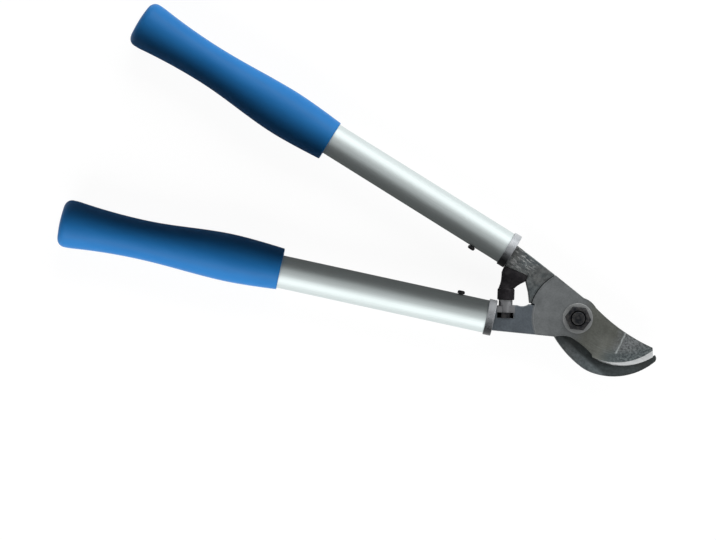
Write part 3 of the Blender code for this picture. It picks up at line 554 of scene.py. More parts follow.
def placement(point, x_axis, z_axis):
    """Matrix at a point in plan, at the height of the tube axes, with axes given in plan."""
    x_axis = x_axis.to_3d()
    z_axis = z_axis.to_3d()
    axes = Matrix((x_axis, z_axis.cross(x_axis), z_axis)).transposed().to_4x4()
    return Matrix.Translation(point.to_3d() + Vector((0, 0, AXIS_Z))) @ axes


def on_arm(arm, along):
    """Point on a tube's axis, and the directions backwards along it and outwards, in plan."""
    side = ARMS[arm]["side"]
    back = Vector((-math.cos(ARM_ANGLE), side * math.sin(ARM_ANGLE)))
    out = Vector((math.sin(ARM_ANGLE), side * math.cos(ARM_ANGLE)))
    return out * ARMS[arm]["offset"] + back * along, back, out


def along_tube(arm, along):
    """Placement with local Z backwards along the tube and local X outwards."""
    point, back, out = on_arm(arm, along)
    return placement(point, out, back)


def across_tube(arm, along):
    """Placement with local Z from the tube's axis towards the other arm."""
    point, back, out = on_arm(arm, along)
    return placement(point, back, -out)


def column_place(distance):
    """Placement with local Z down the blade bumper's column."""
    down = Vector((math.sin(COLUMN_TILT), -math.cos(COLUMN_TILT)))
    return placement(Vector(MEETING_POINT) + down * distance, Vector((-down.y, down.x)), down)


def corner(radius, height, rounding=0.0, slope=0.0, thread=0.0):
    """Corner of a profile: how it is rounded, and what is noted on it for the tree."""
    return radius, height, rounding, slope, thread


def rounded(corners):
    """Points of (radius, height, slope, thread) through corners, each rounded by an arc."""
    points = []
    for index, (radius, height, rounding, slope, thread) in enumerate(corners):
        place = Vector((radius, height))
        if not rounding:
            points.append((radius, height, slope, thread))
            continue
        back = (Vector(corners[index - 1][:2]) - place).normalized()
        on = (Vector(corners[(index + 1) % len(corners)][:2]) - place).normalized()
        half = back.angle(on) / 2
        centre = place + (back + on).normalized() * rounding / math.sin(half)
        start = place + back * rounding / math.tan(half) - centre
        sweep = math.copysign(math.pi - 2 * half, on.x * back.y - on.y * back.x)
        for step in range(ROUNDING_STEPS + 1):
            spot = centre + Matrix.Rotation(sweep * step / ROUNDING_STEPS, 2) @ start
            points.append((spot.x, spot.y, slope, thread))
    return points


def thread_rows(radius, start, end, pitch):
    """Corners along a threaded stretch, whose thread runs in and out over half a turn."""
    count = max(2, round(abs(end - start) / pitch * THREAD_ROWS))
    rows = []
    for step in range(count + 1):
        height = start + (end - start) * step / count
        from_end = min(step, count - step) / count * abs(end - start)
        rows.append(corner(radius, height, thread=min(1.0, from_end / pitch * 2)))
    return rows


def ring(corners):
    """Closed profile."""
    points = rounded(corners)
    return points + points[:1]


def sleeve(bore, outer, low, high, bore_edge, outer_edge):
    """Profile of a tube, a bush or a washer."""
    return ring([corner(bore, low, bore_edge), corner(outer, low, outer_edge),
                 corner(outer, high, outer_edge), corner(bore, high, bore_edge)])


class Surface(Wiring):
    """A Principled BSDF material, read in object coordinates, whose colour is laid in turn."""

    def __init__(self, name, metallic, specular=0.5):
        self.material = bpy.data.materials.new(name)
        self.material.use_nodes = True
        super().__init__(self.material.node_tree)
        self.shader = self.tree.nodes["Principled BSDF"]
        self.shader.inputs["Metallic"].default_value = metallic
        self.shader.inputs["Specular IOR Level"].default_value = specular
        self.place = self.add("ShaderNodeTexCoord", output="Object")
        self.colour = None

    def placed(self, centre=(0, 0), turn=0.0, stretch=(1, 1, 1)):
        """Object coordinates about a centre, turned in plan and then stretched along each axis."""
        moved = self.add("ShaderNodeMapping", {"Vector": self.place, "Rotation": (0, 0, turn),
                                               "Location": (*centre, 0)}, vector_type="TEXTURE")
        return self.add("ShaderNodeMapping", {"Vector": moved, "Scale": stretch})

    def noise(self, scale, detail=4.0, roughness=0.55, place=None):
        return self.add("ShaderNodeTexNoise", {"Vector": place or self.place, "Scale": scale,
                                               "Detail": detail, "Roughness": roughness})

    def mix(self, share, first, second):
        """Colour between two colours."""
        first, second = (colour if isinstance(colour, Value) else (*colour, 1)
                         for colour in (first, second))
        return self.add("ShaderNodeMix", {MIX_SHARE: share, MIX_FIRST: first, MIX_SECOND: second},
                        MIX_RESULT, data_type="RGBA")

    def lay(self, tint, share, strength=1.0):
        """Lays a tint over the colour so far, by a share that reaches a strength."""
        self.colour = self.mix(share.blend(0.0, strength), self.colour, tint)

    def from_centre(self, centre=(0, 0)):
        """Distance in plan from a centre."""
        away = self.add("ShaderNodeVectorMath", {0: self.placed(centre), 1: (1, 1, 0)}, "Vector",
                        operation="MULTIPLY")
        return self.add("ShaderNodeVectorMath", {0: away}, "Value", operation="LENGTH")

    def worn_edges(self, reach, patches):
        """Share that is high on outside edges, broken into patches by a noise."""
        soft = self.add("ShaderNodeBevel", {"Radius": reach}, "Normal", samples=EDGE_SAMPLES)
        true = self.add("ShaderNodeNewGeometry", output="Normal")
        match = self.add("ShaderNodeVectorMath", {0: soft, 1: true}, "Value",
                         operation="DOT_PRODUCT")
        return (1.0 - match).share(*EDGE_TURNS_AWAY) * self.noise(patches, 5.0).share(*EDGE_PATCHES)

    def finish(self, roughness, *bumps):
        """Joins colour and roughness, and bumps of (height, depth in metres, strength)."""
        self.join(self.colour, self.shader.inputs["Base Color"])
        self.join(roughness, self.shader.inputs["Roughness"])
        below = {}
        for height, depth, strength in bumps:
            below["Normal"] = self.add("ShaderNodeBump", {
                "Height": height, "Distance": depth, "Strength": strength, **below}, "Normal")
        self.join(below["Normal"], self.shader.inputs["Normal"])
        return self.material


def blue_moulding():
    """Satin blue plastic: fine spark-eroded grain, faint flow marks and paler rubbed edges."""
    surface = Surface("blue_moulding", metallic=0.0, specular=0.14)
    grain = surface.noise(2600.0, 3.0, 0.6)
    flow = surface.noise(38.0, 3.0, 0.5, surface.placed(stretch=(0.5, 1.6, 1.6)))
    surface.colour = surface.mix(flow.share(0.35, 0.65), *BLUE)
    surface.lay(RUBBED_BLUE, surface.worn_edges(reach=0.0012, patches=240.0), 0.4)
    roughness = (flow + grain * 0.4).share(0.4, 1.0, 0.40, 0.52)
    return surface.finish(roughness, (grain, 0.00006, 0.35))


def satin_aluminium(arm):
    """Anodised drawn tube: fine lines along it, a soft cloudiness and a few handling marks."""
    surface = Surface("satin_aluminium_" + arm, metallic=1.0)
    along = surface.placed(turn=-ARMS[arm]["side"] * ARM_ANGLE, stretch=(0.012, 1.0, 1.0))
    lines = surface.noise(1500.0, 4.0, 0.65, along)
    cloud = surface.noise(28.0, 4.0, 0.5)
    marks = surface.noise(310.0, 6.0, 0.7, surface.placed(turn=0.5, stretch=(0.3, 1.0, 1.0)))
    surface.colour = surface.mix(lines.share(0.3, 0.7), *ALUMINIUM)
    surface.lay(HANDLING_MARK, marks.share(0.66, 0.74), 0.30)
    roughness = (lines * 0.6 + cloud).share(0.5, 1.1, 0.42, 0.50)
    return surface.finish(roughness, (lines, 0.00003, 0.25))


def polished_ring():
    """Dulled steel collar: faint turning marks, smears, and painted shade on its side that faces
    -Y.
    """
    surface = Surface("polished_ring", metallic=0.5)
    smear = surface.noise(120.0, 5.0, 0.6)
    fine = surface.noise(3000.0, 2.0)
    facing = surface.add("ShaderNodeNewGeometry", output="Normal").axis("Y")
    surface.colour = surface.mix(smear.share(0.35, 0.65), *RING)
    # Painted shade: the side of the collar whose normal faces -Y is darkened.
    surface.lay(PAINTED_RING_SHADE, (facing + smear * 0.3).share(0.10, -0.50), 0.93)
    return surface.finish(smear.share(0.3, 0.7, 0.24, 0.36), (fine, 0.00001, 0.2))


def forged_steel():
    """Forged and tumbled dark steel: mottled scale, dark rims, tiny pits and edges rubbed bright.

    Its jaw is lighter and bluer: partly its own tone, partly painted light where the blade
    shades it. Its tang is scraped beside the collar, with a painted highlight in the scrapes,
    and painted shadow of the blade lies along the line where the blade's lower outline
    comes to rest.
    """
    surface = Surface("dark_forging", metallic=0.35, specular=0.25)
    cloud = surface.noise(90.0, 4.0, 0.6)
    scale = surface.noise(380.0, 5.0, 0.65)
    tumbled = surface.noise(900.0, 5.0, 0.6)
    tint = surface.noise(42.0, 3.0, 0.5)
    pits = surface.add("ShaderNodeTexVoronoi", {"Vector": surface.place, "Scale": 1300.0},
                       "Distance")
    rubbed = surface.worn_edges(reach=0.0006, patches=300.0)
    x = surface.place.axis("X")
    y = surface.place.axis("Y")
    mottle = (cloud * 0.4 + scale).share(0.50, 0.90)
    surface.colour = surface.mix(tint.share(0.40, 0.60),
                                 surface.mix(mottle, *COOL_SCALE),
                                 surface.mix(mottle, *NEUTRAL_SCALE))
    # The jaw's own bluer tone, lightened further as painted light where the blade shades it.
    surface.lay(surface.mix(mottle, *JAW_PAINTED_LIGHT), x.share(*JAW_X) * y.share(*JAW_Y))
    surface.lay(FORGED_RIM, surface.worn_edges(reach=0.0034, patches=620.0), 0.5)

    # Scrapes on the tang beside the collar, brightened as a painted highlight.
    lengthwise = surface.placed(turn=SCRAPES_TURN, stretch=(0.30, 1.0, 1.0))
    scrapes_and_highlight = surface.noise(1000.0, 4.0, 0.65, lengthwise).share(0.53, 0.61)
    from_middle = surface.from_centre(SCRAPES_AT)
    by_collar = x.share(*SCRAPES_X) * from_middle.share(*SCRAPES_REACH, 0.25)
    surface.lay(SCRAPE_AND_HIGHLIGHT, scrapes_and_highlight * by_collar, 0.85)

    # Painted shadow of the blade: a dark band just past its cutting edge and below its notch.
    by_edge = surface.from_centre(EDGE_CENTRE).share(*PAINTED_BLADE_SHADOW_PAST_EDGE)
    to_heel = BLADE_HEEL - BLADE_NOTCH
    below_notch = surface.placed(BLADE_NOTCH, math.atan2(to_heel.y, to_heel.x)).axis("Y")
    in_blade_shadow = by_edge.larger(below_notch.share(*PAINTED_BLADE_SHADOW_BELOW_NOTCH))
    in_blade_shadow = in_blade_shadow * x.share(*PAINTED_BLADE_SHADOW_X) * scale.share(0.36, 0.56, 0.5)
    surface.lay(PAINTED_BLADE_SHADOW, in_blade_shadow, 0.75)

    surface.lay(RUBBED_FORGING, rubbed, 0.4)
    roughness = (mottle - rubbed).share(-0.6, 1.0, 0.36, 0.56)
    return surface.finish(roughness, (pits.share(0.0, 0.35), 0.00005, 0.35),
                          (tumbled, 0.00012, 0.45))


def ground_steel():
    """Blade steel: tumbled faces, lines round the ground edge, and a bevel brighter to the tip."""
    surface = Surface("ground_steel", metallic=0.8, specular=0.4)
    from_edge_centre = surface.from_centre(EDGE_CENTRE)
    from_pivot = surface.from_centre()
    x = surface.place.axis("X")
    y = surface.place.axis("Y")
    upright = surface.add("ShaderNodeNewGeometry", output="True Normal").axis("Z")
    angle = surface.add("ShaderNodeTexGradient", {"Vector": surface.placed(EDGE_CENTRE)}, "Fac",
                        gradient_type="RADIAL")
    along_edge = angle * (2 * math.pi * EDGE_RADIUS)
    across_edge = surface.point(along_edge, from_edge_centre * HONING_STRETCH)
    round_edge = surface.point(along_edge * GRINDING_STRETCH, from_edge_centre)
    honing = surface.noise(4200.0, 3.0, 0.6, across_edge)
    grinding = surface.noise(1100.0, 4.0, 0.65, round_edge)
    tumbled = surface.noise(700.0, 5.0, 0.6)
    cloud = surface.noise(70.0, 5.0, 0.6)
    speckle = surface.noise(620.0, 5.0, 0.65)
    mottle = (cloud * 0.8 + tumbled * 0.4).share(0.45, 0.80)

    beside_nut = abs(x + cloud * OLIVE_WANDER - OLIVE_AT_X)
    surface.colour = surface.mix(beside_nut.share(*OLIVE_REACH),
                                 surface.mix(mottle, *SLATE), surface.mix(mottle, *OLIVE))
    at_tang = x.share(*TANG_X) * y.share(*TANG_Y)
    surface.lay(surface.mix(mottle, *TANG), at_tang * from_pivot.share(*TANG_FROM))
    in_boss = surface.placed(BOSS_MIDDLE, COLUMN_TILT)
    beside_boss = abs(in_boss.axis("X")).share(BOSS_HALF_WIDTH + BOSS_FADE, BOSS_HALF_WIDTH)
    above_slot = abs(in_boss.axis("Y")).share(BOSS_HALF_HEIGHT + BOSS_FADE, BOSS_HALF_HEIGHT)
    surface.lay(BOSS, beside_boss * above_slot, 0.7)

    ground = from_edge_centre.share(*GRINDING_FROM) * x.share(*GRINDING_X)
    surface.lay(GRINDING_LINE, ground * grinding.share(0.50, 0.75), 0.55)
    surface.lay(BAND, x.share(*BAND_X) * from_edge_centre.share(*BAND_FROM), 0.65)
    by_tip = x.share(*TIP_X)
    surface.lay(FLECK, speckle.share(0.49, 0.61) * by_tip, 0.7)
    surface.lay(GLINT, speckle.share(0.48, 0.37) * by_tip, 0.6)
    surface.lay(BLADE_RIM, surface.worn_edges(reach=0.0034, patches=620.0), 0.55)
    # Painted highlight along the step where the tang meets the round shoulder.
    off_shoulder = abs(from_pivot - SHOULDER_RADIUS)
    surface.lay(SHOULDER_HIGHLIGHT, at_tang * off_shoulder.share(*SHOULDER_HIGHLIGHT_REACH, 0.45, 0.0))

    # Painted highlight along the ridge where the tip facet starts, wandering and broken.
    past_ridge = surface.placed((RIDGE_AT, 0), RIDGE_TURN).axis("X")
    off_ridge = abs(past_ridge + (surface.noise(260.0, 3.0, 0.6) - 0.5) * RIDGE_WANDER)
    ridge = off_ridge.share(0.0, RIDGE_WIDTH, 1.0, 0.0)
    ridge = ridge * surface.noise(480.0, 4.0, 0.6).share(0.36, 0.56, 0.35)
    surface.lay(RIDGE_HIGHLIGHT, ridge * upright.share(*FLAT_UPRIGHT))
    surface.lay(RUBBED_BLADE, surface.worn_edges(reach=0.0005, patches=320.0), 0.5)

    near_edge = x.share(*BEVEL_X) * from_edge_centre.share(*BEVEL_FROM)
    sloped = upright.share(*BEVEL_UPRIGHT_MOST) * upright.share(*BEVEL_UPRIGHT_LEAST)
    honed = near_edge * sloped
    surface.lay(surface.mix(x.share(*BRIGHT_BEVEL_X), surface.mix(honing, *DULL_BEVEL),
                            surface.mix(honing, *BRIGHT_BEVEL)), honed)
    roughness = honed.blend(mottle.blend(0.38, 0.48), 0.28)
    return surface.finish(roughness, (honing, 0.00001, 0.3), (grinding, 0.00002, 0.3),
                          (tumbled, 0.00010, 0.35))


def black_oxide():
    """Blackened steel fasteners: a brown-blue tint that wanders, and corners rubbed to grey."""
    surface = Surface("black_steel", metallic=1.0)
    tint = surface.noise(380.0, 4.0, 0.6)
    fine = surface.noise(2400.0, 3.0, 0.6)
    surface.colour = surface.mix(tint.share(0.38, 0.62), *OXIDE)
    surface.lay(RUBBED_OXIDE, surface.worn_edges(reach=0.0004, patches=600.0), 0.3)
    return surface.finish(tint.share(0.3, 0.7, 0.36, 0.50), (fine, 0.00003, 0.3))


def dulled_steel():
    """Plain steel washers, dulled by handling: turning marks, smears and a brighter rim."""
    surface = Surface("washer_steel", metallic=0.9, specular=0.4)
    turning = surface.noise(2600.0, 3.0, 0.6, surface.point(surface.from_centre()))
    smear = surface.noise(160.0, 4.0)
    surface.colour = surface.mix((turning * 0.4 + smear).share(0.4, 1.0), *WASHER)
    surface.lay(RUBBED_WASHER, surface.worn_edges(reach=0.0005, patches=380.0), 0.4)
    return surface.finish(smear.share(0.3, 0.7, 0.34, 0.46), (turning, 0.00001, 0.3))


def bearing_bronze():
    """Plain bearing bronze with turning marks and a dull oiled bloom."""
    surface = Surface("bush_bronze", metallic=1.0)
    bloom = surface.noise(260.0, 4.0)
    fine = surface.noise(2600.0, 2.0)
    surface.colour = surface.mix(bloom.share(0.35, 0.65), *BRONZE)
    return surface.finish(bloom.share(0.3, 0.7, 0.32, 0.46), (fine, 0.00002, 0.3))


def black_rubber():
    """Matt rubber: fine moulded grain, chalky bloom in patches and paler rubbed edges."""
    surface = Surface("black_rubber", metallic=0.0, specular=0.25)
    grain = surface.noise(2200.0, 4.0, 0.65)
    bloom = surface.noise(220.0, 5.0, 0.65)
    surface.colour = surface.mix(bloom.share(0.40, 0.66), *RUBBER)
    surface.lay(RUBBED_RUBBER, surface.worn_edges(reach=0.0010, patches=420.0), 0.3)
    return surface.finish(bloom.share(0.3, 0.7, 0.62, 0.78), (grain, 0.00008, 0.45))


def turn_piece(node, points, place=None, flats=NO_FLATS, turn=0.0, pitch=BOLT_PITCH,
               recess_top=0.0, finish=None):
    """Turned piece that stands for a CAD node."""
    sizes = {
        "Sides": ROUND_SIDES, "Across flats": flats, "Turn": turn, "Thread pitch": pitch,
        "Thread depth": pitch * THREAD_SHARE, "Recess top": recess_top,
        "Recess depth": RECESS_DEPTH if recess_top else 0.0, "Recess length": RECESS_LENGTH,
        "Recess width": RECESS_WIDTH,
    }
    finish = finish or FINISHES[SLOT_OF[node]]
    dress(shape_from(TURNED, node + "_turned", points, ("slope", "thread"), sizes, finish, place),
          node)


def hexagon_corners(flats, low, high, low_chamfer, high_chamfer):
    """Outer corners of a hexagon from its lower face to its upper face.

    A chamfer is 1 where that face has a cone chamfer, and 0 where it has none.
    """
    face = flats / 2 * CHAMFER_FACE
    point = flats / math.sqrt(3)
    drop = (point - face) * CORNER_SLOPE
    corners = [corner(point, low + drop * low_chamfer, slope=-CORNER_SLOPE * low_chamfer),
               corner(point, high - drop * high_chamfer, slope=CORNER_SLOPE * high_chamfer)]
    if low_chamfer:
        corners.insert(0, corner(face, low))
    if high_chamfer:
        corners.append(corner(face, high))
    return corners


def make_tube(arm):
    """Round tube, open at both ends."""
    mouth = ARMS[arm]["mouth"]
    length = ARMS[arm]["grip"] + TUBE_PAST_GRIP - mouth
    points = sleeve(TUBE_BORE, TUBE_RADIUS, 0, length, TUBE_EDGE, TUBE_EDGE)
    turn_piece(arm + "_tube", points, along_tube(arm, mouth), finish=satin_aluminium(arm))


def make_collar(arm):
    """Ring with a sleeve over the tube and a lip over its mouth."""
    inner = TUBE_RADIUS + CLEARANCE
    outer = inner + COLLAR_WALL
    front = -CLEARANCE - COLLAR_LIP
    points = ring([corner(TUBE_BORE, front, COLLAR_EDGE / 2), corner(outer, front, COLLAR_EDGE),
                   corner(outer, COLLAR_SLEEVE, COLLAR_EDGE),
                   corner(inner, COLLAR_SLEEVE, COLLAR_EDGE / 4),
                   corner(inner, -CLEARANCE), corner(TUBE_BORE, -CLEARANCE)])
    turn_piece(arm + "_collar", points, along_tube(arm, ARMS[arm]["mouth"]))


def make_tube_screw(arm):
    """Pan-head screw with a cross recess, in the inner side of the tube."""
    under = TUBE_RADIUS + CLEARANCE
    top = under + SCREW_HEAD_HEIGHT
    bottom = under - SCREW_LENGTH
    points = rounded([corner(0, bottom), corner(SCREW_RADIUS - SCREW_POINT, bottom),
                      *thread_rows(SCREW_RADIUS, bottom + SCREW_POINT, under, SCREW_PITCH),
                      corner(SCREW_HEAD_RADIUS, under, SCREW_HEAD_EDGE),
                      corner(SCREW_HEAD_RADIUS, top, SCREW_HEAD_DOME), corner(0, top)])
    turn_piece(arm + "_tube_screw", points,
               across_tube(arm, ARMS[arm]["mouth"] + SCREW_SETBACK),
               pitch=SCREW_PITCH, recess_top=top)


def make_grip(arm):
    """Moulded grip: rows are (bore radius, height along, inset, scale, in the bore)."""
    bore = TUBE_RADIUS + CLEARANCE
    body_end = GRIP_LENGTH - BUTT_DOME - BUTT_ROUNDING
    bore_end = GRIP_LENGTH - BUTT_WALL
    rows = [(bore, 0, 0, 1, 1)]
    for step in range(ROUNDING_STEPS + 1):
        turn = math.pi / 2 * step / ROUNDING_STEPS
        rows.append((0, MOUTH_ROUNDING * (1 - math.cos(turn)),
                     MOUTH_ROUNDING * (1 - math.sin(turn)), 1, 0))
    for step in range(1, GRIP_STEPS + 1):
        height = MOUTH_ROUNDING + (body_end - MOUTH_ROUNDING) * step / GRIP_STEPS
        rows.append((0, height, 0, 1, 0))
    for step in range(1, 2 * ROUNDING_STEPS + 1):
        turn = math.pi / 4 * step / ROUNDING_STEPS
        rows.append((0, body_end + BUTT_ROUNDING * math.sin(turn),
                     BUTT_ROUNDING * (1 - math.cos(turn)), 1, 0))
    for step in range(1, 2 * ROUNDING_STEPS + 1):
        scale = 1 - step / (2 * ROUNDING_STEPS)
        rows.append((0, GRIP_LENGTH - BUTT_DOME * scale ** 2, BUTT_ROUNDING, scale, 0))
    rows += [(0, bore_end, 0, 1, 1), (bore, bore_end, 0, 1, 1), (bore, 0, 0, 1, 1)]
    sizes = {"Sides": GRIP_SIDES, **GRIP_SIZES}
    piece = shape_from(GRIP, arm + "_grip_moulding", rows, ("inset", "scale", "bore"), sizes,
                       FINISHES["blue_moulding"], along_tube(arm, ARMS[arm]["grip"]))
    dress(piece, arm + "_grip")


def make_pivot():
    """Bolt, nut, both washers and the bush."""
    chamfer = BOLT_PITCH * THREAD_SHARE
    thread_start = WASHER_FRONT_Z + WASHER_THICKNESS
    bolt = rounded([corner(0, 0), *hexagon_corners(BOLT_FLATS, 0, HEAD_HEIGHT, 1, 0),
                    corner(BOLT_RADIUS, HEAD_HEIGHT),
                    *thread_rows(BOLT_RADIUS, thread_start, BOLT_TOP_Z - chamfer, BOLT_PITCH),
                    corner(BOLT_RADIUS - chamfer, BOLT_TOP_Z), corner(0, BOLT_TOP_Z)])
    turn_piece("pivot_bolt", bolt, flats=BOLT_FLATS)
    bore = BOLT_RADIUS + THREAD_PLAY
    top = NUT_Z + NUT_HEIGHT
    nut = ring([corner(bore + chamfer, NUT_Z), *hexagon_corners(BOLT_FLATS, NUT_Z, top, 1, 1),
                corner(bore + chamfer, top),
                *thread_rows(bore, top - chamfer, NUT_Z + chamfer, BOLT_PITCH)])
    turn_piece("pivot_nut", nut, flats=BOLT_FLATS, turn=NUT_TURN)
    hole = BOLT_RADIUS + CLEARANCE
    for node, low in (("pivot_washer_back", WASHER_BACK_Z), ("pivot_washer_front", WASHER_FRONT_Z)):
        turn_piece(node, sleeve(hole, WASHER_RADIUS, low, low + WASHER_THICKNESS,
                                WASHER_EDGE / 2, WASHER_EDGE))
    turn_piece("pivot_bush", sleeve(hole, hole + BUSH_WALL, BLADE_BACK_Z, BLADE_FRONT_Z,
                                    WASHER_EDGE / 2, WASHER_EDGE / 2))


def stud_points(low, high):
    """Profile of a stud that is threaded from end to end."""
    chamfer = STUD_PITCH * THREAD_SHARE
    return rounded([corner(0, low), corner(STUD_RADIUS - chamfer, low),
                    *thread_rows(STUD_RADIUS, low + chamfer, high - chamfer, STUD_PITCH),
                    corner(STUD_RADIUS - chamfer, high), corner(0, high)])


def make_bumpers():
    """The blade's round buffer, which touches its boss, its stud and nut, and the hook's stud."""
    hole = STUD_RADIUS + CLEARANCE
    top = BUFFER_HEIGHT + CLEARANCE - TOUCHING
    bottom = BUFFER_HEIGHT - STUD_IN_RUBBER - CLEARANCE
    buffer = rounded([corner(0, 0), corner(BUFFER_RADIUS, 0, BUFFER_EDGE),
                      corner(BUFFER_RADIUS, top, BUFFER_EDGE), corner(hole, top),
                      corner(hole, bottom), corner(0, bottom)])
    turn_piece("blade_bumper", buffer, column_place(CLEARANCE / 2))
    boss_start = CLEARANCE / 2 + BUFFER_HEIGHT + CLEARANCE
    length = STUD_IN_RUBBER + CLEARANCE + BOSS_HEIGHT + BUMPER_NUT_HEIGHT
    turn_piece("blade_bumper_stud", stud_points(0, length),
               column_place(boss_start - CLEARANCE - STUD_IN_RUBBER), pitch=STUD_PITCH)
    chamfer = STUD_PITCH * THREAD_SHARE
    nut = ring([corner(hole + chamfer, 0),
                *hexagon_corners(BUMPER_NUT_FLATS, 0, BUMPER_NUT_HEIGHT, 0, 0),
                corner(hole + chamfer, BUMPER_NUT_HEIGHT),
                *thread_rows(hole, BUMPER_NUT_HEIGHT - chamfer, chamfer, STUD_PITCH)])
    turn_piece("blade_bumper_nut", nut, column_place(boss_start + BOSS_HEIGHT + TOUCHING),
               flats=BUMPER_NUT_FLATS, pitch=STUD_PITCH)
    hook_stud = stud_points(HOOK_SEAT - CLEARANCE - HOOK_STUD_IN_RUBBER,
                            HOOK_SEAT + HOOK_STUD_IN_TANG)
    turn_piece("hook_bumper_stud", hook_stud,
               placement(Vector((HOOK_BUMPER_AT, 0)), Vector((1, 0)), Vector((0, 1))),
               pitch=STUD_PITCH)


def smoothed(node, edge, grown=0.0):
    """Copy of a CAD solid with broken edges, grown a little where it has to fill its seat."""
    mesh = frame["nodes"][node].data.copy()
    shape = bmesh.new()
    shape.from_mesh(mesh)
    bmesh.ops.remove_doubles(shape, verts=shape.verts, dist=SOLID_MERGE_DISTANCE)
    bmesh.ops.dissolve_limit(shape, angle_limit=FLAT_ANGLE, verts=shape.verts, edges=shape.edges)
    shape.normal_update()
    moves = [(vert, vert.normal * vert.calc_shell_factor() * grown) for vert in shape.verts]
    for vert, move in moves:
        vert.co += move
    for layer in list(shape.loops.layers.uv):
        shape.loops.layers.uv.remove(layer)
    shape.to_mesh(mesh)
    shape.free()
    mesh.materials.clear()
    mesh.materials.append(FINISHES[SLOT_OF[node]])
    piece = in_scene(node + "_finished", mesh)
    bevel = piece.modifiers.new("broken_edges", "BEVEL")
    bevel.width = edge
    bevel.segments = 2
    bevel.limit_method = "ANGLE"
    bevel.angle_limit = KEEN_ANGLE
    plain(piece)
    piece.modifiers.new("flat_faces", "WEIGHTED_NORMAL").keep_sharp = True
    made_plain(piece)
    dress(piece, node)


def emptied(owner):
    """The wiring of a material or a world, without its first nodes."""
    owner.use_nodes = True
    owner.node_tree.nodes.clear()
    return Wiring(owner.node_tree)


def seen_in_gloss(wiring):
    """Share that is 1 for rays from gloss and through clear pieces."""
    path = "ShaderNodeLightPath"
    return wiring.add(path, output="Is Glossy Ray").larger(
        wiring.add(path, output="Is Transmission Ray"))


def make_floor():
    """White floor that shows itself to the camera and to gloss, and takes soft shadows."""
    mesh = bpy.data.meshes.new("floor")
    mesh.from_pydata([(x * FLOOR_REACH, y * FLOOR_REACH, -FLOOR_GAP)
                      for x, y in ((-1, -1), (1, -1), (1, 1), (-1, 1))], [], [(0, 1, 2, 3)])
    floor = in_scene("floor", mesh)
    material = bpy.data.materials.new("white_floor")
    wiring = emptied(material)
    away = wiring.add("ShaderNodeVectorMath",
                      {0: wiring.add("ShaderNodeTexCoord", output="Object")}, "Value",
                      operation="LENGTH")
    strength = away.share(*FLOOR_GLOW_REACH, *FLOOR_GLOW)
    glow = wiring.add("ShaderNodeEmission", {"Color": WHITE, "Strength": strength})
    catch, bounce = (wiring.add("ShaderNodeBsdfDiffuse", {"Color": (grey, grey, grey, 1)})
                     for grey in (FLOOR_CATCH, FLOOR_BOUNCE))
    seen = wiring.add("ShaderNodeLightPath", output="Is Camera Ray").larger(seen_in_gloss(wiring))
    shown = wiring.add("ShaderNodeAddShader", {0: glow, 1: catch})
    above = wiring.add("ShaderNodeMixShader", {0: seen, 1: bounce, 2: shown})
    below = wiring.add("ShaderNodeBsdfTransparent")
    backface = wiring.add("ShaderNodeNewGeometry", output="Backfacing")
    wiring.end("ShaderNodeOutputMaterial", "Surface",
               wiring.add("ShaderNodeMixShader", {0: backface, 1: above, 2: below}))
    mesh.materials.append(material)
    return floor


def make_dark_card():
    """Dark card with a fin, seen only in reflections, that lies between the handles."""
    shape = bmesh.new()
    near, far = ([shape.verts.new(point) for point in ((x, -reach, CARD_LIFT), (x, 0, CARD_LIFT),
                                                       (x, reach, CARD_LIFT), (x, 0, height))]
                 for x, reach, height in CARD_SECTIONS)
    for first, second in ((0, 1), (1, 2), (1, 3)):
        shape.faces.new((near[first], near[second], far[second], far[first]))
    mesh = bpy.data.meshes.new("dark_card")
    shape.to_mesh(mesh)
    shape.free()
    card = in_scene("dark_card", mesh)
    material = bpy.data.materials.new("dark_card")
    material.use_nodes = True
    inputs = material.node_tree.nodes["Principled BSDF"].inputs
    inputs["Base Color"].default_value = (CARD_COLOUR, CARD_COLOUR, CARD_COLOUR, 1)
    inputs["Roughness"].default_value = CARD_ROUGHNESS
    inputs["Emission Color"].default_value = WHITE
    inputs["Emission Strength"].default_value = CARD_GREY
    mesh.materials.append(material)
    card.visible_camera = False
    card.visible_diffuse = False
    card.visible_shadow = False


def make_world():
    """White to the camera; for gloss it falls from white at the horizon to grey overhead."""
    world = bpy.data.worlds.new("studio")
    bpy.context.scene.world = world
    wiring = emptied(world)
    height = wiring.add("ShaderNodeTexCoord", output="Generated").axis("Z")
    overhead = height.share(*HORIZON_TO_OVERHEAD, 1.0, OVERHEAD_GREY)
    strength = seen_in_gloss(wiring).blend(AMBIENT, overhead)
    strength = wiring.add("ShaderNodeLightPath", output="Is Camera Ray").blend(strength, 1.0)
    wiring.end("ShaderNodeOutputWorld", "Surface",
               wiring.add("ShaderNodeBackground", {"Color": WHITE, "Strength": strength}))


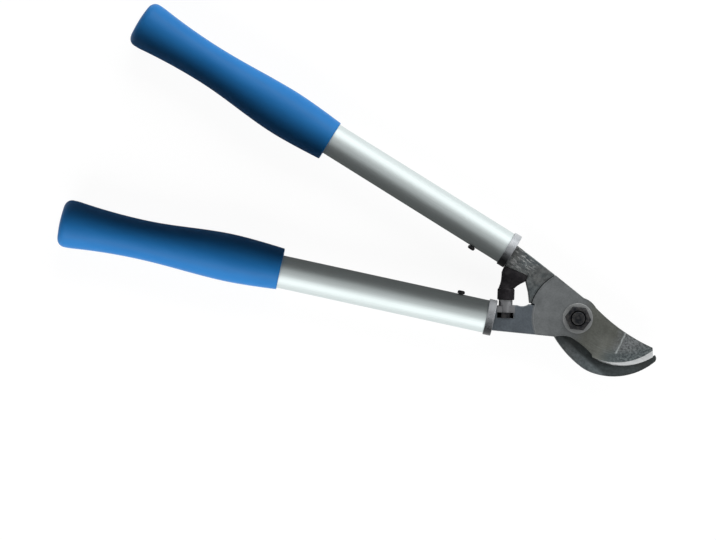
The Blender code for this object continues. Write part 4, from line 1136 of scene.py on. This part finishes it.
def make_softbox(name, side, lit_pieces):
    """Wide soft light at one side: a lamp that is seen in gloss, and a stronger one that isn't."""
    lit = bpy.data.collections.new(name + "_lights")
    for piece in lit_pieces:
        lit.objects.link(piece)
    for part, radiance, rise in (("sheen", SHEEN_RADIANCE, SHEEN_RISE),
                                 ("fill", FILL_RADIANCE, FILL_RISE)):
        data = bpy.data.lights.new(name + "_" + part, "AREA")
        data.shape = "RECTANGLE"
        data.size = SOFTBOX_WIDTH
        data.size_y = SOFTBOX_HEIGHT
        data.energy = radiance * math.pi * SOFTBOX_WIDTH * SOFTBOX_HEIGHT
        lamp = in_scene(data.name, data)
        towards = Vector((0, side * math.cos(rise), math.sin(rise)))
        lamp.location = Vector((SOFTBOX_AT, 0, 0)) + towards * SOFTBOX_DISTANCE
        lamp.rotation_euler = towards.to_track_quat("Z", "Y").to_euler()
        lamp.visible_camera = False
        lamp.visible_diffuse = part == "fill"
        lamp.visible_glossy = part == "sheen"
        lamp.light_linking.receiver_collection = lit


def make_camera():
    """Camera square above the flat of the lopper, at the photograph's scale and turn."""
    data = bpy.data.cameras.new("camera")
    data.sensor_width = SENSOR_WIDTH
    data.lens = SENSOR_WIDTH * CAMERA_DISTANCE / (PHOTO_WIDTH * PIXEL_SIZE)
    data.clip_end = 10 * CAMERA_DISTANCE
    camera = in_scene("camera", data)
    right = Vector((math.cos(HANDLES_TILT), math.sin(HANDLES_TILT)))
    up = Vector((-right.y, right.x))
    aside = (PHOTO_WIDTH / 2 - PIVOT_PIXEL[0]) * PIXEL_SIZE
    raised = (PIVOT_PIXEL[1] - PHOTO_HEIGHT / 2) * PIXEL_SIZE
    camera.location = (*(right * aside + up * raised), AXIS_Z + CAMERA_DISTANCE)
    camera.rotation_euler = (0, 0, HANDLES_TILT)
    bpy.context.scene.camera = camera


FINISHES = {
    "blue_moulding": blue_moulding(), "polished_ring": polished_ring(),
    "dark_forging": forged_steel(), "ground_steel": ground_steel(), "black_steel": black_oxide(),
    "washer_steel": dulled_steel(), "bush_bronze": bearing_bronze(),
    "black_rubber": black_rubber(),
}
TURNED = turned_tree()
GRIP = grip_tree()
for arm_name in ARMS:
    make_tube(arm_name)
    make_collar(arm_name)
    make_tube_screw(arm_name)
    make_grip(arm_name)
make_pivot()
make_bumpers()
smoothed("hook_blade", FORGED_BREAK)
smoothed("cutting_blade", GROUND_BREAK)
smoothed("hook_bumper", RUBBER_BREAK, CLEARANCE - TOUCHING)
white_floor = make_floor()

# In the photograph the two handles are lit from opposite sides
blade_handle = [PIECES["blade_tube"], PIECES["blade_grip"]]
others = [piece for piece in PIECES.values() if piece not in blade_handle]
make_softbox("hook_side", 1, [white_floor, *others])
make_softbox("blade_side", -1, [white_floor, *blade_handle])
make_dark_card()
make_world()
make_camera()
bpy.context.scene.view_settings.view_transform = "Standard"
